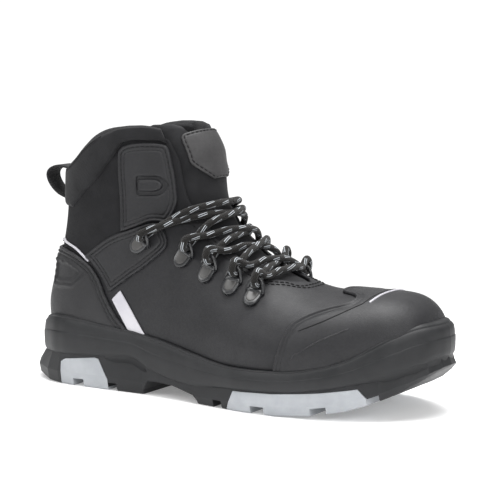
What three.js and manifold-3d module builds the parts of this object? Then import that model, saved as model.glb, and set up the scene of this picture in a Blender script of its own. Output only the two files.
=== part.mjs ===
// A right-foot safety boot in millimetres: x from heel to toe, y towards the inner ankle, z up.
// The origin is on the floor under the middle of the heel tread.
import * as THREE from "three";
import { mergeVertices } from "three/addons/utils/BufferGeometryUtils.js";
import Module from "manifold-3d";

const wasm = await Module();
wasm.setup();

// Driving sizes
const soleLength = 316;
const ballWidth = 112;
const heelSetback = 46; // from the rear of the sole to the origin
const footbedHeight = 29; // floor to footbed under the heel
const instepHeight = 95; // footbed to the bend of the instep
const shaftHeight = 54; // bend of the instep to the collar
const wall = 2.4; // of the upper
const gap = 0.3; // between pieces that touch

// Sole sizes
const rimInset = 3.4; // how far the top edge of the sole stands in from its outline
const treadInset = 0.6; // how far the walking face stands in from its outline
const channelDepth = 5;
const insoleThickness = 5;
const lastingMargin = 13; // width of the flange that the upper turns in under the foot
const tongueThickness = 9;
const tongueOverlap = 0.035; // under each edge of the throat, as a share of a turn
const patchThickness = 1.4;
const grooveWidth = 5;
const overlayThickness = 1.5;
const counterThickness = 1.9;
const stripeThickness = 0.7;
const cuffOutside = 2.6; // padding over the upper
const cuffInside = 4; // padding inside it
const cuffRoll = 4; // padding over its edge

// Pull loop and lace fittings
const webbingThickness = 1.6;
const webbingWidth = 15;
const loopReach = 20;
const loopTopUp = 1.39;
const loopLowUp = 1.04;
const plateLength = 12.5;
const plateWidth = 13;
const plateThickness = 1.8;
const ringWire = 1.5; // radius
const bowFoot = 2.5; // of the bow, ahead of the middle of the fitting
const bowHalfWidth = 5.7;
const bowHeight = 9.5;
const bowTilt = 0.75;
const bossRadius = 3.4;
const bossHeight = 1.4;
const laceRadius = 2.4;
const sideLift = 3.8; // lace over the upper, to its middle
const barLift = 1.2; // at the middle of a bar
const lowCrossing = 0.5; // at the middle of the strand that lies under
const highCrossing = 3.2;

// The last, toe to collar. Each row is one section, cut by a plane that fans round the instep.
// backX, frontX: shares of soleLength from its rear.
// backUp, frontUp: 0 to 1 up the instep, 1 to 2 up the shaft.
const lastProfile = [
  { backX: 0.963, backUp: 0.179, frontX: 0.964, frontUp: 0.243 },
  { backX: 0.957, backUp: 0.121, frontX: 0.958, frontUp: 0.32 },
  { backX: 0.945, backUp: 0.079, frontX: 0.942, frontUp: 0.4 },
  { backX: 0.908, backUp: 0.026, frontX: 0.908, frontUp: 0.458 },
  { backX: 0.854, backUp: -0.021, frontX: 0.859, frontUp: 0.474 },
  { backX: 0.788, backUp: -0.068, frontX: 0.788, frontUp: 0.474 },
  { backX: 0.712, backUp: -0.097, frontX: 0.709, frontUp: 0.488 },
  { backX: 0.636, backUp: -0.11, frontX: 0.637, frontUp: 0.57 },
  { backX: 0.557, backUp: -0.105, frontX: 0.577, frontUp: 0.683 },
  { backX: 0.472, backUp: -0.079, frontX: 0.532, frontUp: 0.81 },
  { backX: 0.373, backUp: -0.042, frontX: 0.498, frontUp: 0.937 },
  { backX: 0.266, backUp: -0.01, frontX: 0.486, frontUp: 1.056 },
  { backX: 0.152, backUp: 0, frontX: 0.479, frontUp: 1.204 },
  { backX: 0.08, backUp: 0.021, frontX: 0.476, frontUp: 1.333 },
  { backX: 0.053, backUp: 0.2, frontX: 0.473, frontUp: 1.463 },
  { backX: 0.065, backUp: 0.43, frontX: 0.468, frontUp: 1.593 },
  { backX: 0.08, backUp: 0.663, frontX: 0.463, frontUp: 1.731 },
  { backX: 0.092, backUp: 0.884, frontX: 0.449, frontUp: 1.87 },
  { backX: 0.1, backUp: 1.185, frontX: 0.43, frontUp: 2.009 },
  { backX: 0.1, backUp: 1.537, frontX: 0.41, frontUp: 2.167 },
  { backX: 0.1, backUp: 1.85, frontX: 0.39, frontUp: 2.39 },
];
// The widths of the same sections. mid, outer, inner: shares of ballWidth.
// wide: where along the section it is widest. crown, base: how square its front and its back are.
const lastWidths = [
  { mid: 0.04, outer: 0.07, inner: 0.05, wide: 0.5, crown: 2, base: 2 },
  { mid: 0.04, outer: 0.2, inner: 0.135, wide: 0.42, crown: 2.3, base: 3.5 },
  { mid: 0.04, outer: 0.27, inner: 0.2, wide: 0.36, crown: 2.5, base: 4.5 },
  { mid: 0.04, outer: 0.35, inner: 0.285, wide: 0.33, crown: 2.6, base: 5 },
  { mid: 0.04, outer: 0.421, inner: 0.358, wide: 0.31, crown: 2.5, base: 5 },
  { mid: 0.036, outer: 0.482, inner: 0.398, wide: 0.31, crown: 2.3, base: 5 },
  { mid: 0.027, outer: 0.502, inner: 0.412, wide: 0.32, crown: 2.1, base: 5 },
  { mid: 0.018, outer: 0.492, inner: 0.394, wide: 0.31, crown: 1.95, base: 5 },
  { mid: 0.009, outer: 0.453, inner: 0.355, wide: 0.3, crown: 1.9, base: 5 },
  { mid: 0.004, outer: 0.4, inner: 0.322, wide: 0.3, crown: 1.95, base: 5 },
  { mid: 0, outer: 0.354, inner: 0.318, wide: 0.32, crown: 2, base: 5 },
  { mid: 0, outer: 0.338, inner: 0.322, wide: 0.36, crown: 2.1, base: 4.5 },
  { mid: 0, outer: 0.334, inner: 0.326, wide: 0.4, crown: 2.2, base: 4 },
  { mid: 0, outer: 0.33, inner: 0.326, wide: 0.42, crown: 2.3, base: 3 },
  { mid: 0, outer: 0.325, inner: 0.325, wide: 0.42, crown: 2.4, base: 2.3 },
  { mid: 0, outer: 0.315, inner: 0.315, wide: 0.43, crown: 2.4, base: 2.2 },
  { mid: 0, outer: 0.312, inner: 0.312, wide: 0.45, crown: 2.4, base: 2.2 },
  { mid: 0, outer: 0.318, inner: 0.318, wide: 0.47, crown: 2.4, base: 2.2 },
  { mid: 0, outer: 0.322, inner: 0.322, wide: 0.48, crown: 2.4, base: 2.3 },
  { mid: 0, outer: 0.322, inner: 0.322, wide: 0.5, crown: 2.4, base: 2.3 },
  { mid: 0, outer: 0.325, inner: 0.325, wide: 0.5, crown: 2.4, base: 2.3 },
];
const lastRows = lastProfile.map((row, i) => ({ ...row, ...lastWidths[i] }));
const lastEnd = lastRows.length - 1;

// Plan of the sole, rear to tip. along: share of soleLength. outer, inner: shares of ballWidth.
const planRows = [
  { along: 0, outer: 0, inner: 0 },
  { along: 0.0095, outer: 0.116, inner: 0.116 },
  { along: 0.035, outer: 0.223, inner: 0.223 },
  { along: 0.082, outer: 0.308, inner: 0.308 },
  { along: 0.12, outer: 0.34, inner: 0.339 },
  { along: 0.161, outer: 0.357, inner: 0.355 },
  { along: 0.256, outer: 0.366, inner: 0.35 },
  { along: 0.351, outer: 0.371, inner: 0.325 },
  { along: 0.446, outer: 0.411, inner: 0.328 },
  { along: 0.541, outer: 0.464, inner: 0.384 },
  { along: 0.62, outer: 0.506, inner: 0.437 },
  { along: 0.699, outer: 0.513, inner: 0.471 },
  { along: 0.778, outer: 0.488, inner: 0.471 },
  { along: 0.848, outer: 0.433, inner: 0.438 },
  { along: 0.905, outer: 0.362, inner: 0.37 },
  { along: 0.949, outer: 0.268, inner: 0.28 },
  { along: 0.981, outer: 0.161, inner: 0.185 },
  { along: 0.996, outer: 0.054, inner: 0.1 },
  { along: 1, outer: -0.02, inner: 0.02 },
];

// Side view of the sole: heights over the floor in shares of footbedHeight.
// floor: underside of the lugs. split: underside of the midsole. rim: top edge.
const soleRows = [
  { along: 0, floor: 0.17, split: 0.69, rim: 1.45 },
  { along: 0.066, floor: 0.03, split: 0.72, rim: 1.61 },
  { along: 0.12, floor: 0, split: 0.74, rim: 1.64 },
  { along: 0.177, floor: 0, split: 0.76, rim: 1.61 },
  { along: 0.244, floor: 0, split: 0.79, rim: 1.535 },
  { along: 0.326, floor: 0, split: 0.82, rim: 1.43 },
  { along: 0.367, floor: 0, split: 0.6, rim: 1.36 },
  { along: 0.427, floor: 0, split: 0.46, rim: 1.25 },
  { along: 0.494, floor: 0, split: 0.4, rim: 1.1 },
  { along: 0.554, floor: 0, split: 0.46, rim: 0.99 },
  { along: 0.608, floor: 0, split: 0.5, rim: 0.962 },
  { along: 0.69, floor: 0, split: 0.535, rim: 0.983 },
  { along: 0.734, floor: 0.03, split: 0.575, rim: 1.03 },
  { along: 0.797, floor: 0.105, split: 0.67, rim: 1.162 },
  { along: 0.845, floor: 0.22, split: 0.775, rim: 1.34 },
  { along: 0.889, floor: 0.365, split: 0.9, rim: 1.6 },
  { along: 0.94, floor: 0.6, split: 1.08, rim: 1.9 },
  { along: 0.973, floor: 0.81, split: 1.22, rim: 2.055 },
  { along: 1, floor: 1.02, split: 1.34, rim: 2.09 },
];

// The throat, from the vamp to the collar: half its width as a share of a turn round the section.
const throatRows = [
  { row: 6.55, half: 0.03 },
  { row: 7.2, half: 0.062 },
  { row: 9, half: 0.078 },
  { row: 11, half: 0.093 },
  { row: 13, half: 0.105 },
  { row: 15, half: 0.115 },
  { row: 17, half: 0.125 },
  { row: 20, half: 0.135 },
];

// The collar line in side view, from the back over the ankle and down the front of the shaft.
const collarRows = [
  { along: -0.05, up: 1.4 },
  { along: 0.08, up: 1.41 },
  { along: 0.13, up: 1.47 },
  { along: 0.165, up: 1.59 },
  { along: 0.19, up: 1.72 },
  { along: 0.22, up: 1.86 },
  { along: 0.25, up: 1.945 },
  { along: 0.29, up: 1.99 },
  { along: 0.34, up: 2.01 },
  { along: 0.37, up: 1.98 },
  { along: 0.4, up: 1.91 },
  { along: 0.42, up: 1.78 },
  { along: 0.437, up: 1.61 },
  { along: 0.455, up: 1.3 },
];

// Side view of the space that the tongue fills: its top edge, then far below.
const tongueTopRows = [
  { along: 0.27, up: 1.6 },
  { along: 0.335, up: 1.96 },
  { along: 0.345, up: 2.02 },
  { along: 0.36, up: 2.06 },
  { along: 0.395, up: 2.08 },
  { along: 0.41, up: 2.06 },
  { along: 0.42, up: 1.98 },
  { along: 0.7, up: 1.6 },
  { along: 0.7, up: 0 },
  { along: 0.27, up: 0 },
];

// The patch on the tongue, as the throat above.
const patchRows = [
  { row: 13.4, half: 0.05 },
  { row: 14, half: 0.07 },
  { row: 15.2, half: 0.086 },
  { row: 17.5, half: 0.084 },
];

// Side-view outlines of the pieces sewn on the upper
const toeCapRows = [
  { along: 0.69, up: -0.1 },
  { along: 0.691, up: 0.02 },
  { along: 0.698, up: 0.104 },
  { along: 0.706, up: 0.198 },
  { along: 0.715, up: 0.285 },
  { along: 0.737, up: 0.345 },
  { along: 0.78, up: 0.402 },
  { along: 0.808, up: 0.424 },
  { along: 0.817, up: 0.446 },
  { along: 0.817, up: 0.8 },
  { along: 1.1, up: 0.8 },
  { along: 1.1, up: -0.1 },
];
// The lobe at the back of the toe cap, in plan, on its outer half.
const toeLobeMiddle = 0.036;
const toeLobeRows = [
  { along: 0.83, across: -0.19 },
  { along: 0.817, across: -0.18 },
  { along: 0.809, across: -0.12 },
  { along: 0.79, across: -0.078 },
  { along: 0.769, across: -0.06 },
  { along: 0.76, across: -0.02 },
];
const counterRows = [
  { along: -0.2, up: 0.66 },
  { along: 0.142, up: 0.655 },
  { along: 0.203, up: 0.585 },
  { along: 0.232, up: 0.49 },
  { along: 0.249, up: 0.38 },
  { along: 0.275, up: 0.24 },
  { along: 0.306, up: 0.128 },
  { along: 0.32, up: 0 },
  { along: -0.2, up: 0 },
];
const bandRows = [
  { along: 0.194, up: 0.63 },
  { along: 0.256, up: 0.773 },
  { along: 0.314, up: 0.848 },
  { along: 0.362, up: 0.9 },
  { along: 0.38, up: 0.885 },
  { along: 0.391, up: 0.833 },
  { along: 0.397, up: 0.737 },
  { along: 0.354, up: 0.605 },
  { along: 0.31, up: 0.504 },
  { along: 0.262, up: 0.393 },
  { along: 0.241, up: 0.5 },
  { along: 0.213, up: 0.597 },
];
const ankleRows = [
  { along: 0.289, up: 1.72 },
  { along: 0.283, up: 1.565 },
  { along: 0.285, up: 1.144 },
  { along: 0.29, up: 0.845 },
  { along: 0.333, up: 0.893 },
  { along: 0.362, up: 0.93 },
  { along: 0.386, up: 0.955 },
  { along: 0.408, up: 1.06 },
  { along: 0.41, up: 1.231 },
  { along: 0.394, up: 1.7 },
  { along: 0.375, up: 1.79 },
  { along: 0.322, up: 1.79 },
];
const stripeRows = [
  { along: 0.267, up: 0.343 },
  { along: 0.289, up: 0.413 },
  { along: 0.365, up: 0.05 },
  { along: 0.324, up: 0.05 },
];
const cuffRows = [
  { along: -0.3, up: 0.93 },
  { along: 0.152, up: 0.967 },
  { along: 0.231, up: 1.353 },
  { along: 0.281, up: 1.7 },
  { along: 0.288, up: 1.79 },
  { along: 0.318, up: 1.83 },
  { along: 0.378, up: 1.83 },
  { along: 0.4, up: 1.72 },
  { along: 0.416, up: 1.25 },
  { along: 0.42, up: 1.14 },
  { along: 0.5, up: 1.14 },
  { along: 0.5, up: 2.5 },
  { along: -0.3, up: 2.5 },
];

// Places of the lace fittings on the side of the upper, bottom to top.
// dip: rows of the last by which the strand that leaves upwards sags over the tongue.
const fittingRows = [
  { kind: "ring", along: 0.612, up: 0.456, base: gap, dip: 0.2 },
  { kind: "ring", along: 0.559, up: 0.521, base: gap, dip: 0.3 },
  { kind: "ring", along: 0.499, up: 0.596, base: gap, dip: 0.7 },
  { kind: "ring", along: 0.439, up: 0.687, base: gap, dip: 1.4 },
  { kind: "hook", along: 0.34, up: 0.76, base: gap * 2 + overlayThickness, dip: 1.7 },
];

// Curves through table rows
function spline(a, b, c, d, t) {
  return b + 0.5 * t * (c - a + t * (2 * a - 5 * b + 4 * c - d + t * (3 * (b - c) + d - a)));
}

// One column of a table at a row number that may fall between rows.
function columnAt(rows, key, at) {
  const i = Math.min(Math.max(Math.floor(at), 0), rows.length - 2);
  const value = (n) => rows[Math.min(Math.max(n, 0), rows.length - 1)][key];
  return spline(value(i - 1), value(i), value(i + 1), value(i + 2), at - i);
}

// The row number at which a rising column has a given value.
function rowWhere(rows, key, wanted) {
  const above = rows.findIndex((row) => row[key] > wanted);
  const i = above < 0 ? rows.length - 1 : Math.max(above, 1);
  const [low, high] = [rows[i - 1][key], rows[i][key]];
  return Math.min(Math.max(i - 1 + (wanted - low) / (high - low), 0), rows.length - 1);
}

const alongX = (share) => share * soleLength - heelSetback;
const upZ = (share) =>
  footbedHeight + Math.min(share, 1) * instepHeight + Math.max(share - 1, 0) * shaftHeight;
const sidePoint = ({ along, up }) => [alongX(along), upZ(up)];

const shareAt = (x) => (x + heelSetback) / soleLength;
const soleHeight = (key, x) =>
  footbedHeight * Math.max(columnAt(soleRows, key, rowWhere(soleRows, "along", shareAt(x))), 0);

const soleAcross = (low, share, high, x) =>
  soleHeight(low, x) * (1 - share) + soleHeight(high, x) * share;

// The underside of the last at x.
const bottomRows = lastRows
  .slice(0, 14)
  .reverse()
  .map((row) => ({ along: row.backX, up: row.backUp }));
const bottomHeight = (x) => upZ(columnAt(bottomRows, "up", rowWhere(bottomRows, "along", shareAt(x))));

// The section of the last at a row number: its back and front points and its widths.
function section(at) {
  const value = (key) => columnAt(lastRows, key, at);
  return {
    back: new THREE.Vector3(alongX(value("backX")), value("mid") * ballWidth, upZ(value("backUp"))),
    front: new THREE.Vector3(alongX(value("frontX")), value("mid") * ballWidth, upZ(value("frontUp"))),
    outer: value("outer") * ballWidth,
    inner: value("inner") * ballWidth,
    wide: value("wide"),
    crown: value("crown"),
    base: value("base"),
  };
}

// A point of the last: turn is 0 at the back, a quarter on the outer side, a half at the front.
function lastPoint(at, turn) {
  const s = section(at);
  const angle = (turn - 0.25) * 2 * Math.PI;
  const rise = Math.sin(angle);
  const spread = Math.cos(angle);
  const power = 2 / (rise > 0 ? s.crown : s.base);
  const reach = Math.abs(rise) ** power;
  const along = rise > 0 ? s.wide + (1 - s.wide) * reach : s.wide * (1 - reach);
  const across = Math.abs(spread) ** power * (spread > 0 ? -s.outer : s.inner);
  return s.back.clone().lerp(s.front, along).add(new THREE.Vector3(0, across, 0));
}

// The same point moved off the last along its normal.
function formPoint(at, turn, offset) {
  const turnStep = 0.02;
  const rowStep = 0.1;
  const point = lastPoint(at, turn);
  if (offset === 0) return point;
  const alongRow = lastPoint(Math.min(at + rowStep, lastEnd), turn).sub(
    lastPoint(Math.max(at - rowStep, 0), turn),
  );
  const alongTurn = lastPoint(at, turn + turnStep).sub(lastPoint(at, turn - turnStep));
  return point.add(alongTurn.cross(alongRow).normalize().multiplyScalar(offset));
}

// Solids
function toSolid(geometry) {
  const plain = new THREE.BufferGeometry();
  plain.setAttribute("position", geometry.getAttribute("position"));
  plain.setIndex(geometry.getIndex());
  const merged = mergeVertices(plain, 1e-4);
  return new wasm.Manifold(
    new wasm.Mesh({
      numProp: 3,
      vertProperties: new Float32Array(merged.getAttribute("position").array),
      triVerts: new Uint32Array(merged.getIndex().array),
    }),
  );
}

// A solid through closed rings of equally many points. Across the ends, point i of a ring faces point facing - i.
function ringSolid(rings, facing = rings[0].length) {
  const n = rings[0].length;
  const faces = [];
  for (let r = 0; r < rings.length - 1; r++) {
    for (let i = 0; i < n; i++) {
      const a = r * n + i;
      const b = r * n + ((i + 1) % n);
      faces.push([a, b, b + n], [a, b + n, a + n]);
    }
  }
  const top = (rings.length - 1) * n;
  for (let i = 0; i < facing - i - 1; i++) {
    const c = facing - i - 1;
    const d = (facing - i) % n;
    if (i + 1 !== c) faces.push([i, c, i + 1], [top + i, top + i + 1, top + c]);
    if (i !== d) faces.push([i, d, c], [top + i, top + c, top + d]);
  }
  const geometry = new THREE.BufferGeometry();
  const corners = rings.flat().flatMap((p) => [p.x, p.y, p.z]);
  geometry.setAttribute("position", new THREE.Float32BufferAttribute(corners, 3));
  geometry.setIndex(faces.flat());
  const solid = toSolid(geometry);
  if (solid.volume() > 0) return solid;
  geometry.setIndex(faces.flatMap(([a, b, c]) => [a, c, b]));
  return toSolid(geometry);
}

const turnSteps = 20;
const rowSteps = 1.1; // rings for each row of the last

// The last as a closed solid, larger or smaller by an offset.
function lastForm(offset) {
  const count = Math.round(lastEnd * rowSteps);
  const ring = (r) =>
    Array.from({ length: turnSteps }, (_, i) => formPoint((r * lastEnd) / count, i / turnSteps, offset));
  return ringSolid(Array.from({ length: count + 1 }, (_, r) => ring(r)));
}

// A strip of the last over its front, between two offsets. half is a share of a turn at each row.
function frontStrip(fromRow, toRow, half, lowOffset, highOffset, steps, across = 6) {
  const ring = (at) => {
    const turn = (i) => 0.5 - half(at) + (2 * half(at) * i) / across;
    const low = Array.from({ length: across + 1 }, (_, i) => formPoint(at, turn(i), lowOffset(at)));
    const high = Array.from({ length: across + 1 }, (_, i) => {
      return formPoint(at, turn(across - i), highOffset(at));
    });
    return [...low, ...high];
  };
  const rings = Array.from({ length: steps + 1 }, (_, r) => ring(fromRow + ((toRow - fromRow) * r) / steps));
  return ringSolid(rings, 2 * across + 1);
}

// A side-view outline of [x, z] points, drawn out from one y to another.
function sideSolid(points, fromY, toY) {
  const shape = new THREE.Shape(points.map(([x, z]) => new THREE.Vector2(x, z)));
  const geometry = new THREE.ExtrudeGeometry(shape, { depth: toY - fromY, bevelEnabled: false });
  geometry.rotateX(Math.PI / 2);
  geometry.translate(0, toY, 0);
  return toSolid(geometry);
}

// The plan of the sole, moved in or out, at heights given for each x.
const planSteps = 1;
const heelShare = 0.14;
const toeShare = 0.12;
function planRing(offset, heightAt, heelTuck = 0, toeTuck = 0) {
  const last = planRows.length - 1;
  const side = (t, key, sign) =>
    new THREE.Vector2(
      alongX(columnAt(planRows, "along", t)),
      sign * columnAt(planRows, key, t) * ballWidth,
    );
  const points = [];
  for (let i = 0; i < last * planSteps; i++) points.push(side(i / planSteps, "outer", -1));
  for (let i = last * planSteps; i > 0; i--) points.push(side(i / planSteps, "inner", 1));
  const n = points.length;
  return points.map((p, i) => {
    const tangent = points[(i + 1) % n].clone().sub(points[(i + n - 1) % n]).normalize();
    const nearHeel = Math.max(1 - shareAt(p.x) / heelShare, 0) ** 0.6;
    const nearToe = Math.max(1 - (1 - shareAt(p.x)) / toeShare, 0) ** 0.6;
    const x = p.x + tangent.y * offset + nearHeel * heelTuck - nearToe * toeTuck;
    return new THREE.Vector3(x, p.y - tangent.x * offset, heightAt(p.x));
  });
}

const root = new THREE.Group();
function addPiece(name, solid, color, roughness, metalness = 0) {
  const { vertProperties, triVerts } = solid.getMesh();
  const geometry = new THREE.BufferGeometry();
  geometry.setAttribute("position", new THREE.BufferAttribute(vertProperties, 3));
  geometry.setIndex(new THREE.BufferAttribute(triVerts, 1));
  geometry.computeVertexNormals();
  const mesh = new THREE.Mesh(geometry, new THREE.MeshStandardMaterial({ color, roughness, metalness }));
  mesh.name = name;
  root.add(mesh);
}

// A shape laid out on [x, y] points, between two heights.
function planSolid(points, fromZ, toZ) {
  const shape = new THREE.Shape(points.map(([x, y]) => new THREE.Vector2(x, y)));
  const geometry = new THREE.ExtrudeGeometry(shape, { depth: toZ - fromZ, bevelEnabled: false });
  geometry.translate(0, 0, fromZ);
  return toSolid(geometry);
}

// A tube along points, with its frame carried from step to step.
function tubeSolid(points, radius, sides = 6, stepsPerPoint = 1.15) {
  const curve = new THREE.CatmullRomCurve3(points);
  const path = curve.getPoints(Math.round(points.length * stepsPerPoint));
  const side = new THREE.Vector3(0, 0, 1);
  const rings = path.map((p, i) => {
    const ahead = path[Math.min(i + 1, path.length - 1)];
    const tangent = ahead.clone().sub(path[Math.max(i - 1, 0)]).normalize();
    side.addScaledVector(tangent, -side.dot(tangent)).normalize();
    const up = tangent.clone().cross(side);
    return Array.from({ length: sides }, (_, k) => {
      const angle = (k / sides) * 2 * Math.PI;
      return p
        .clone()
        .addScaledVector(side, Math.cos(angle) * radius)
        .addScaledVector(up, Math.sin(angle) * radius);
    });
  });
  return ringSolid(rings);
}

// Where a side-view point shows on the outer side of the last, as row and turn.
function findOnSide(along, up) {
  const wanted = new THREE.Vector2(alongX(along), upZ(up));
  let best = { row: lastEnd / 2, turn: 0.3, miss: Infinity };
  for (let step = 1; step > 0.01; step /= 3) {
    const { row, turn } = best;
    const reach = step === 1 ? 9 : 3;
    for (let i = -reach; i <= reach; i++) {
      for (let j = -reach; j <= reach; j++) {
        const at = Math.min(Math.max(row + i * step, 0), lastEnd);
        const side = Math.min(Math.max(turn + j * step * 0.02, 0.1), 0.5);
        const p = lastPoint(at, side);
        const miss = Math.hypot(p.x - wanted.x, p.z - wanted.y);
        if (miss < best.miss) best = { row: at, turn: side, miss };
      }
    }
  }
  return best;
}

// Upper
const halfWidth = ballWidth;
const throatHalf = (at) => columnAt(throatRows, "half", rowWhere(throatRows, "row", at));
const throatFrom = throatRows[0].row;
const outerForm = lastForm(0);
const aboveCollar = (lift) =>
  sideSolid(
    [
      ...collarRows.map(({ along, up }) => [alongX(along), upZ(up) + lift]),
      [alongX(0.6), upZ(1.3)],
      [alongX(0.6), upZ(4)],
      [alongX(-0.1), upZ(4)],
    ],
    -halfWidth,
    halfWidth,
  );
const throatCut = frontStrip(throatFrom, lastEnd, throatHalf, () => -wall * 3, () => wall * 12, 16);
const underCut = ringSolid([
  planRing(-lastingMargin, (x) => bottomHeight(x) - wall * 2),
  planRing(-lastingMargin, (x) => bottomHeight(x) + wall * 2),
]);

function makeUpper() {
  const shell = outerForm.subtract(lastForm(-wall));
  const open = shell.subtract(aboveCollar(-cuffRoll)).subtract(throatCut).subtract(underCut);
  addPiece("upper", open, "#2b2b2d", 0.6);
}

// Sole
const rimTuck = [11, 5]; // how far the top edge stands in at heel and toe
const wallTuck = [9.5, 2];
const midsoleRings = [
  planRing(-0.5, (x) => soleHeight("split", x), ...wallTuck),
  planRing(1.1, (x) => soleAcross("split", 0.58, "rim", x), ...wallTuck),
  planRing(-0.2, (x) => soleAcross("split", 0.62, "rim", x), ...wallTuck),
  planRing(-0.6, (x) => soleAcross("split", 0.84, "rim", x), ...wallTuck),
  planRing(-rimInset, (x) => soleHeight("rim", x), ...rimTuck),
];
const overRim = (x) => soleHeight("rim", x) + gap;
const soleSpace = ringSolid([
  planRing(halfWidth / 8, () => -footbedHeight),
  planRing(halfWidth / 8, overRim),
  planRing(-rimInset, overRim, ...rimTuck),
]);

// Side-view pieces of the tread: shares of soleLength along and of footbedHeight up.
const heelInsertRows = [
  { along: 0.133, up: -0.1 },
  { along: 0.133, up: 0.53 },
  { along: 0.145, up: 0.61 },
  { along: 0.225, up: 0.72 },
  { along: 0.236, up: 0.7 },
  { along: 0.26, up: 0.26 },
  { along: 0.262, up: -0.1 },
];
const toeInsertRows = [
  { along: 0.58, up: -0.1 },
  { along: 0.582, up: 0.03 },
  { along: 0.598, up: 0.44 },
  { along: 0.69, up: 0.485 },
  { along: 0.756, up: 0.55 },
  { along: 0.797, up: 0.6 },
  { along: 0.845, up: 0.68 },
  { along: 0.866, up: 0.72 },
  { along: 0.888, up: 0.47 },
  { along: 0.88, up: -0.1 },
];
const archRows = [
  { along: 0.35, up: -0.1 },
  { along: 0.353, up: 0.11 },
  { along: 0.366, up: 0.33 },
  { along: 0.385, up: 0.35 },
  { along: 0.433, up: 0.32 },
  { along: 0.492, up: 0.19 },
  { along: 0.502, up: 0.07 },
  { along: 0.503, up: -0.1 },
];
// Channels across the tread, and grooves along it: shares of soleLength and of ballWidth.
const channelRows = [
  { from: 0.168, to: 0.196 },
  { from: 0.262, to: 0.284 },
  { from: 0.546, to: 0.568 },
  { from: 0.642, to: 0.674 },
  { from: 0.775, to: 0.807 },
  { from: 0.882, to: 0.905 },
];
const grooveRows = [
  { from: 0.06, to: 0.31, across: -0.14 },
  { from: 0.06, to: 0.31, across: 0.14 },
  { from: 0.52, to: 0.93, across: -0.2 },
  { from: 0.52, to: 0.93, across: 0.2 },
];
const soleOutline = (rows, grow = 0) => {
  const middle = rows.reduce((sum, row) => sum + row.along, 0) / rows.length;
  return sideSolid(
    rows.map(({ along, up }) => [
      alongX(along) + Math.sign(along - middle) * grow,
      up * footbedHeight + (up > 0 ? grow : -grow),
    ]),
    -halfWidth,
    halfWidth,
  );
};
const channelSolid = ({ from, to }, fromY, toY, depth) => {
  const steps = Math.max(Math.round((to - from) * 40), 1);
  const xs = Array.from({ length: steps + 1 }, (_, i) => alongX(from + ((to - from) * i) / steps));
  const top = xs.map((x) => [x, soleHeight("floor", x) + depth]);
  const bottom = xs.map((x) => [x, soleHeight("floor", x) - depth]).reverse();
  return sideSolid([...top, ...bottom], fromY, toY);
};

function makeSole() {
  addPiece("midsole", ringSolid(midsoleRings).subtract(lastForm(gap)), "#333335", 0.7);
  const treadForm = ringSolid([
    planRing(-treadInset - 1, (x) => soleHeight("floor", x), 5, 3),
    planRing(-treadInset, (x) => soleHeight("floor", x) + 1, 4, 2.5),
    planRing(0.5, (x) => soleAcross("floor", 0.4, "split", x), 4, 0.5),
    planRing(-0.5, (x) => soleHeight("split", x) - gap, ...wallTuck),
  ]);
  const cuts = [
    ...channelRows.map((row) => channelSolid(row, -halfWidth, halfWidth, channelDepth)),
    ...grooveRows.map((row) => {
      const middle = row.across * ballWidth;
      return channelSolid(row, middle - grooveWidth / 2, middle + grooveWidth / 2, channelDepth * 0.8);
    }),
  ];
  const lugs = cuts.reduce((solid, cut) => solid.subtract(cut), treadForm);
  const black = lugs
    .subtract(soleOutline(archRows))
    .subtract(soleOutline(heelInsertRows, gap))
    .subtract(soleOutline(toeInsertRows, gap));
  addPiece("outsole", black, "#303133", 0.75);
  addPiece("heel_insert", lugs.intersect(soleOutline(heelInsertRows)), "#9c9ea2", 0.7);
  addPiece("forefoot_insert", lugs.intersect(soleOutline(toeInsertRows)), "#9c9ea2", 0.7);
}

function makeInsole() {
  const band = ringSolid([
    planRing(0, (x) => bottomHeight(x) - wall),
    planRing(0, (x) => bottomHeight(x) + wall + gap + insoleThickness),
  ]);
  addPiece("insole", lastForm(-wall - gap).intersect(band), "#44464a", 0.9);
}

// Tongue, with a plain leather patch on its padded top
const tongueHalf = (at) => throatHalf(at) + tongueOverlap;
function makeTongue() {
  const strip = frontStrip(
    throatFrom - 0.4,
    lastEnd - 0.6,
    tongueHalf,
    () => -wall - gap - tongueThickness,
    () => 0,
    16,
  );
  const tongue = strip
    .intersect(lastForm(-wall - gap))
    .intersect(sideSolid(tongueTopRows.map(sidePoint), -halfWidth, halfWidth));
  addPiece("tongue", tongue, "#3a3a3c", 0.8);
  const patchHalf = (at) => columnAt(patchRows, "half", rowWhere(patchRows, "row", at));
  const patch = frontStrip(
    patchRows[0].row,
    patchRows[patchRows.length - 1].row,
    patchHalf,
    () => -wall * 2,
    () => wall,
    6,
  );
  addPiece(
    "tongue_patch",
    patch.intersect(lastForm(-wall + patchThickness)).subtract(lastForm(-wall)),
    "#4a4a4b",
    0.6,
  );
}

// Leather pieces on the upper
const layer = (low, high) => lastForm(high).subtract(lastForm(low));
const leatherLayer = layer(gap, gap + overlayThickness);
const wholeSide = (rows) => sideSolid(rows.map(sidePoint), -halfWidth, halfWidth);
const oneSide = (rows, sign) =>
  sideSolid(rows.map(sidePoint), Math.min(0, sign * halfWidth), Math.max(0, sign * halfWidth));

function makeToeCap() {
  const sides = wholeSide(toeCapRows);
  const lobe = planSolid(
    [
      ...toeLobeRows.map(({ along, across }) => [alongX(along), across * ballWidth]),
      ...toeLobeRows.map(({ along, across }) => [alongX(along), (toeLobeMiddle * 2 - across) * ballWidth]).reverse(),
    ],
    upZ(0.3),
    upZ(0.8),
  );
  addPiece("toe_cap", leatherLayer.intersect(sides.add(lobe)).subtract(soleSpace), "#303032", 0.55);
}

function makeCounter() {
  const moulded = layer(gap, gap + counterThickness);
  addPiece("heel_counter", moulded.intersect(wholeSide(counterRows)).subtract(soleSpace), "#2e2e30", 0.6);
}

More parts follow.
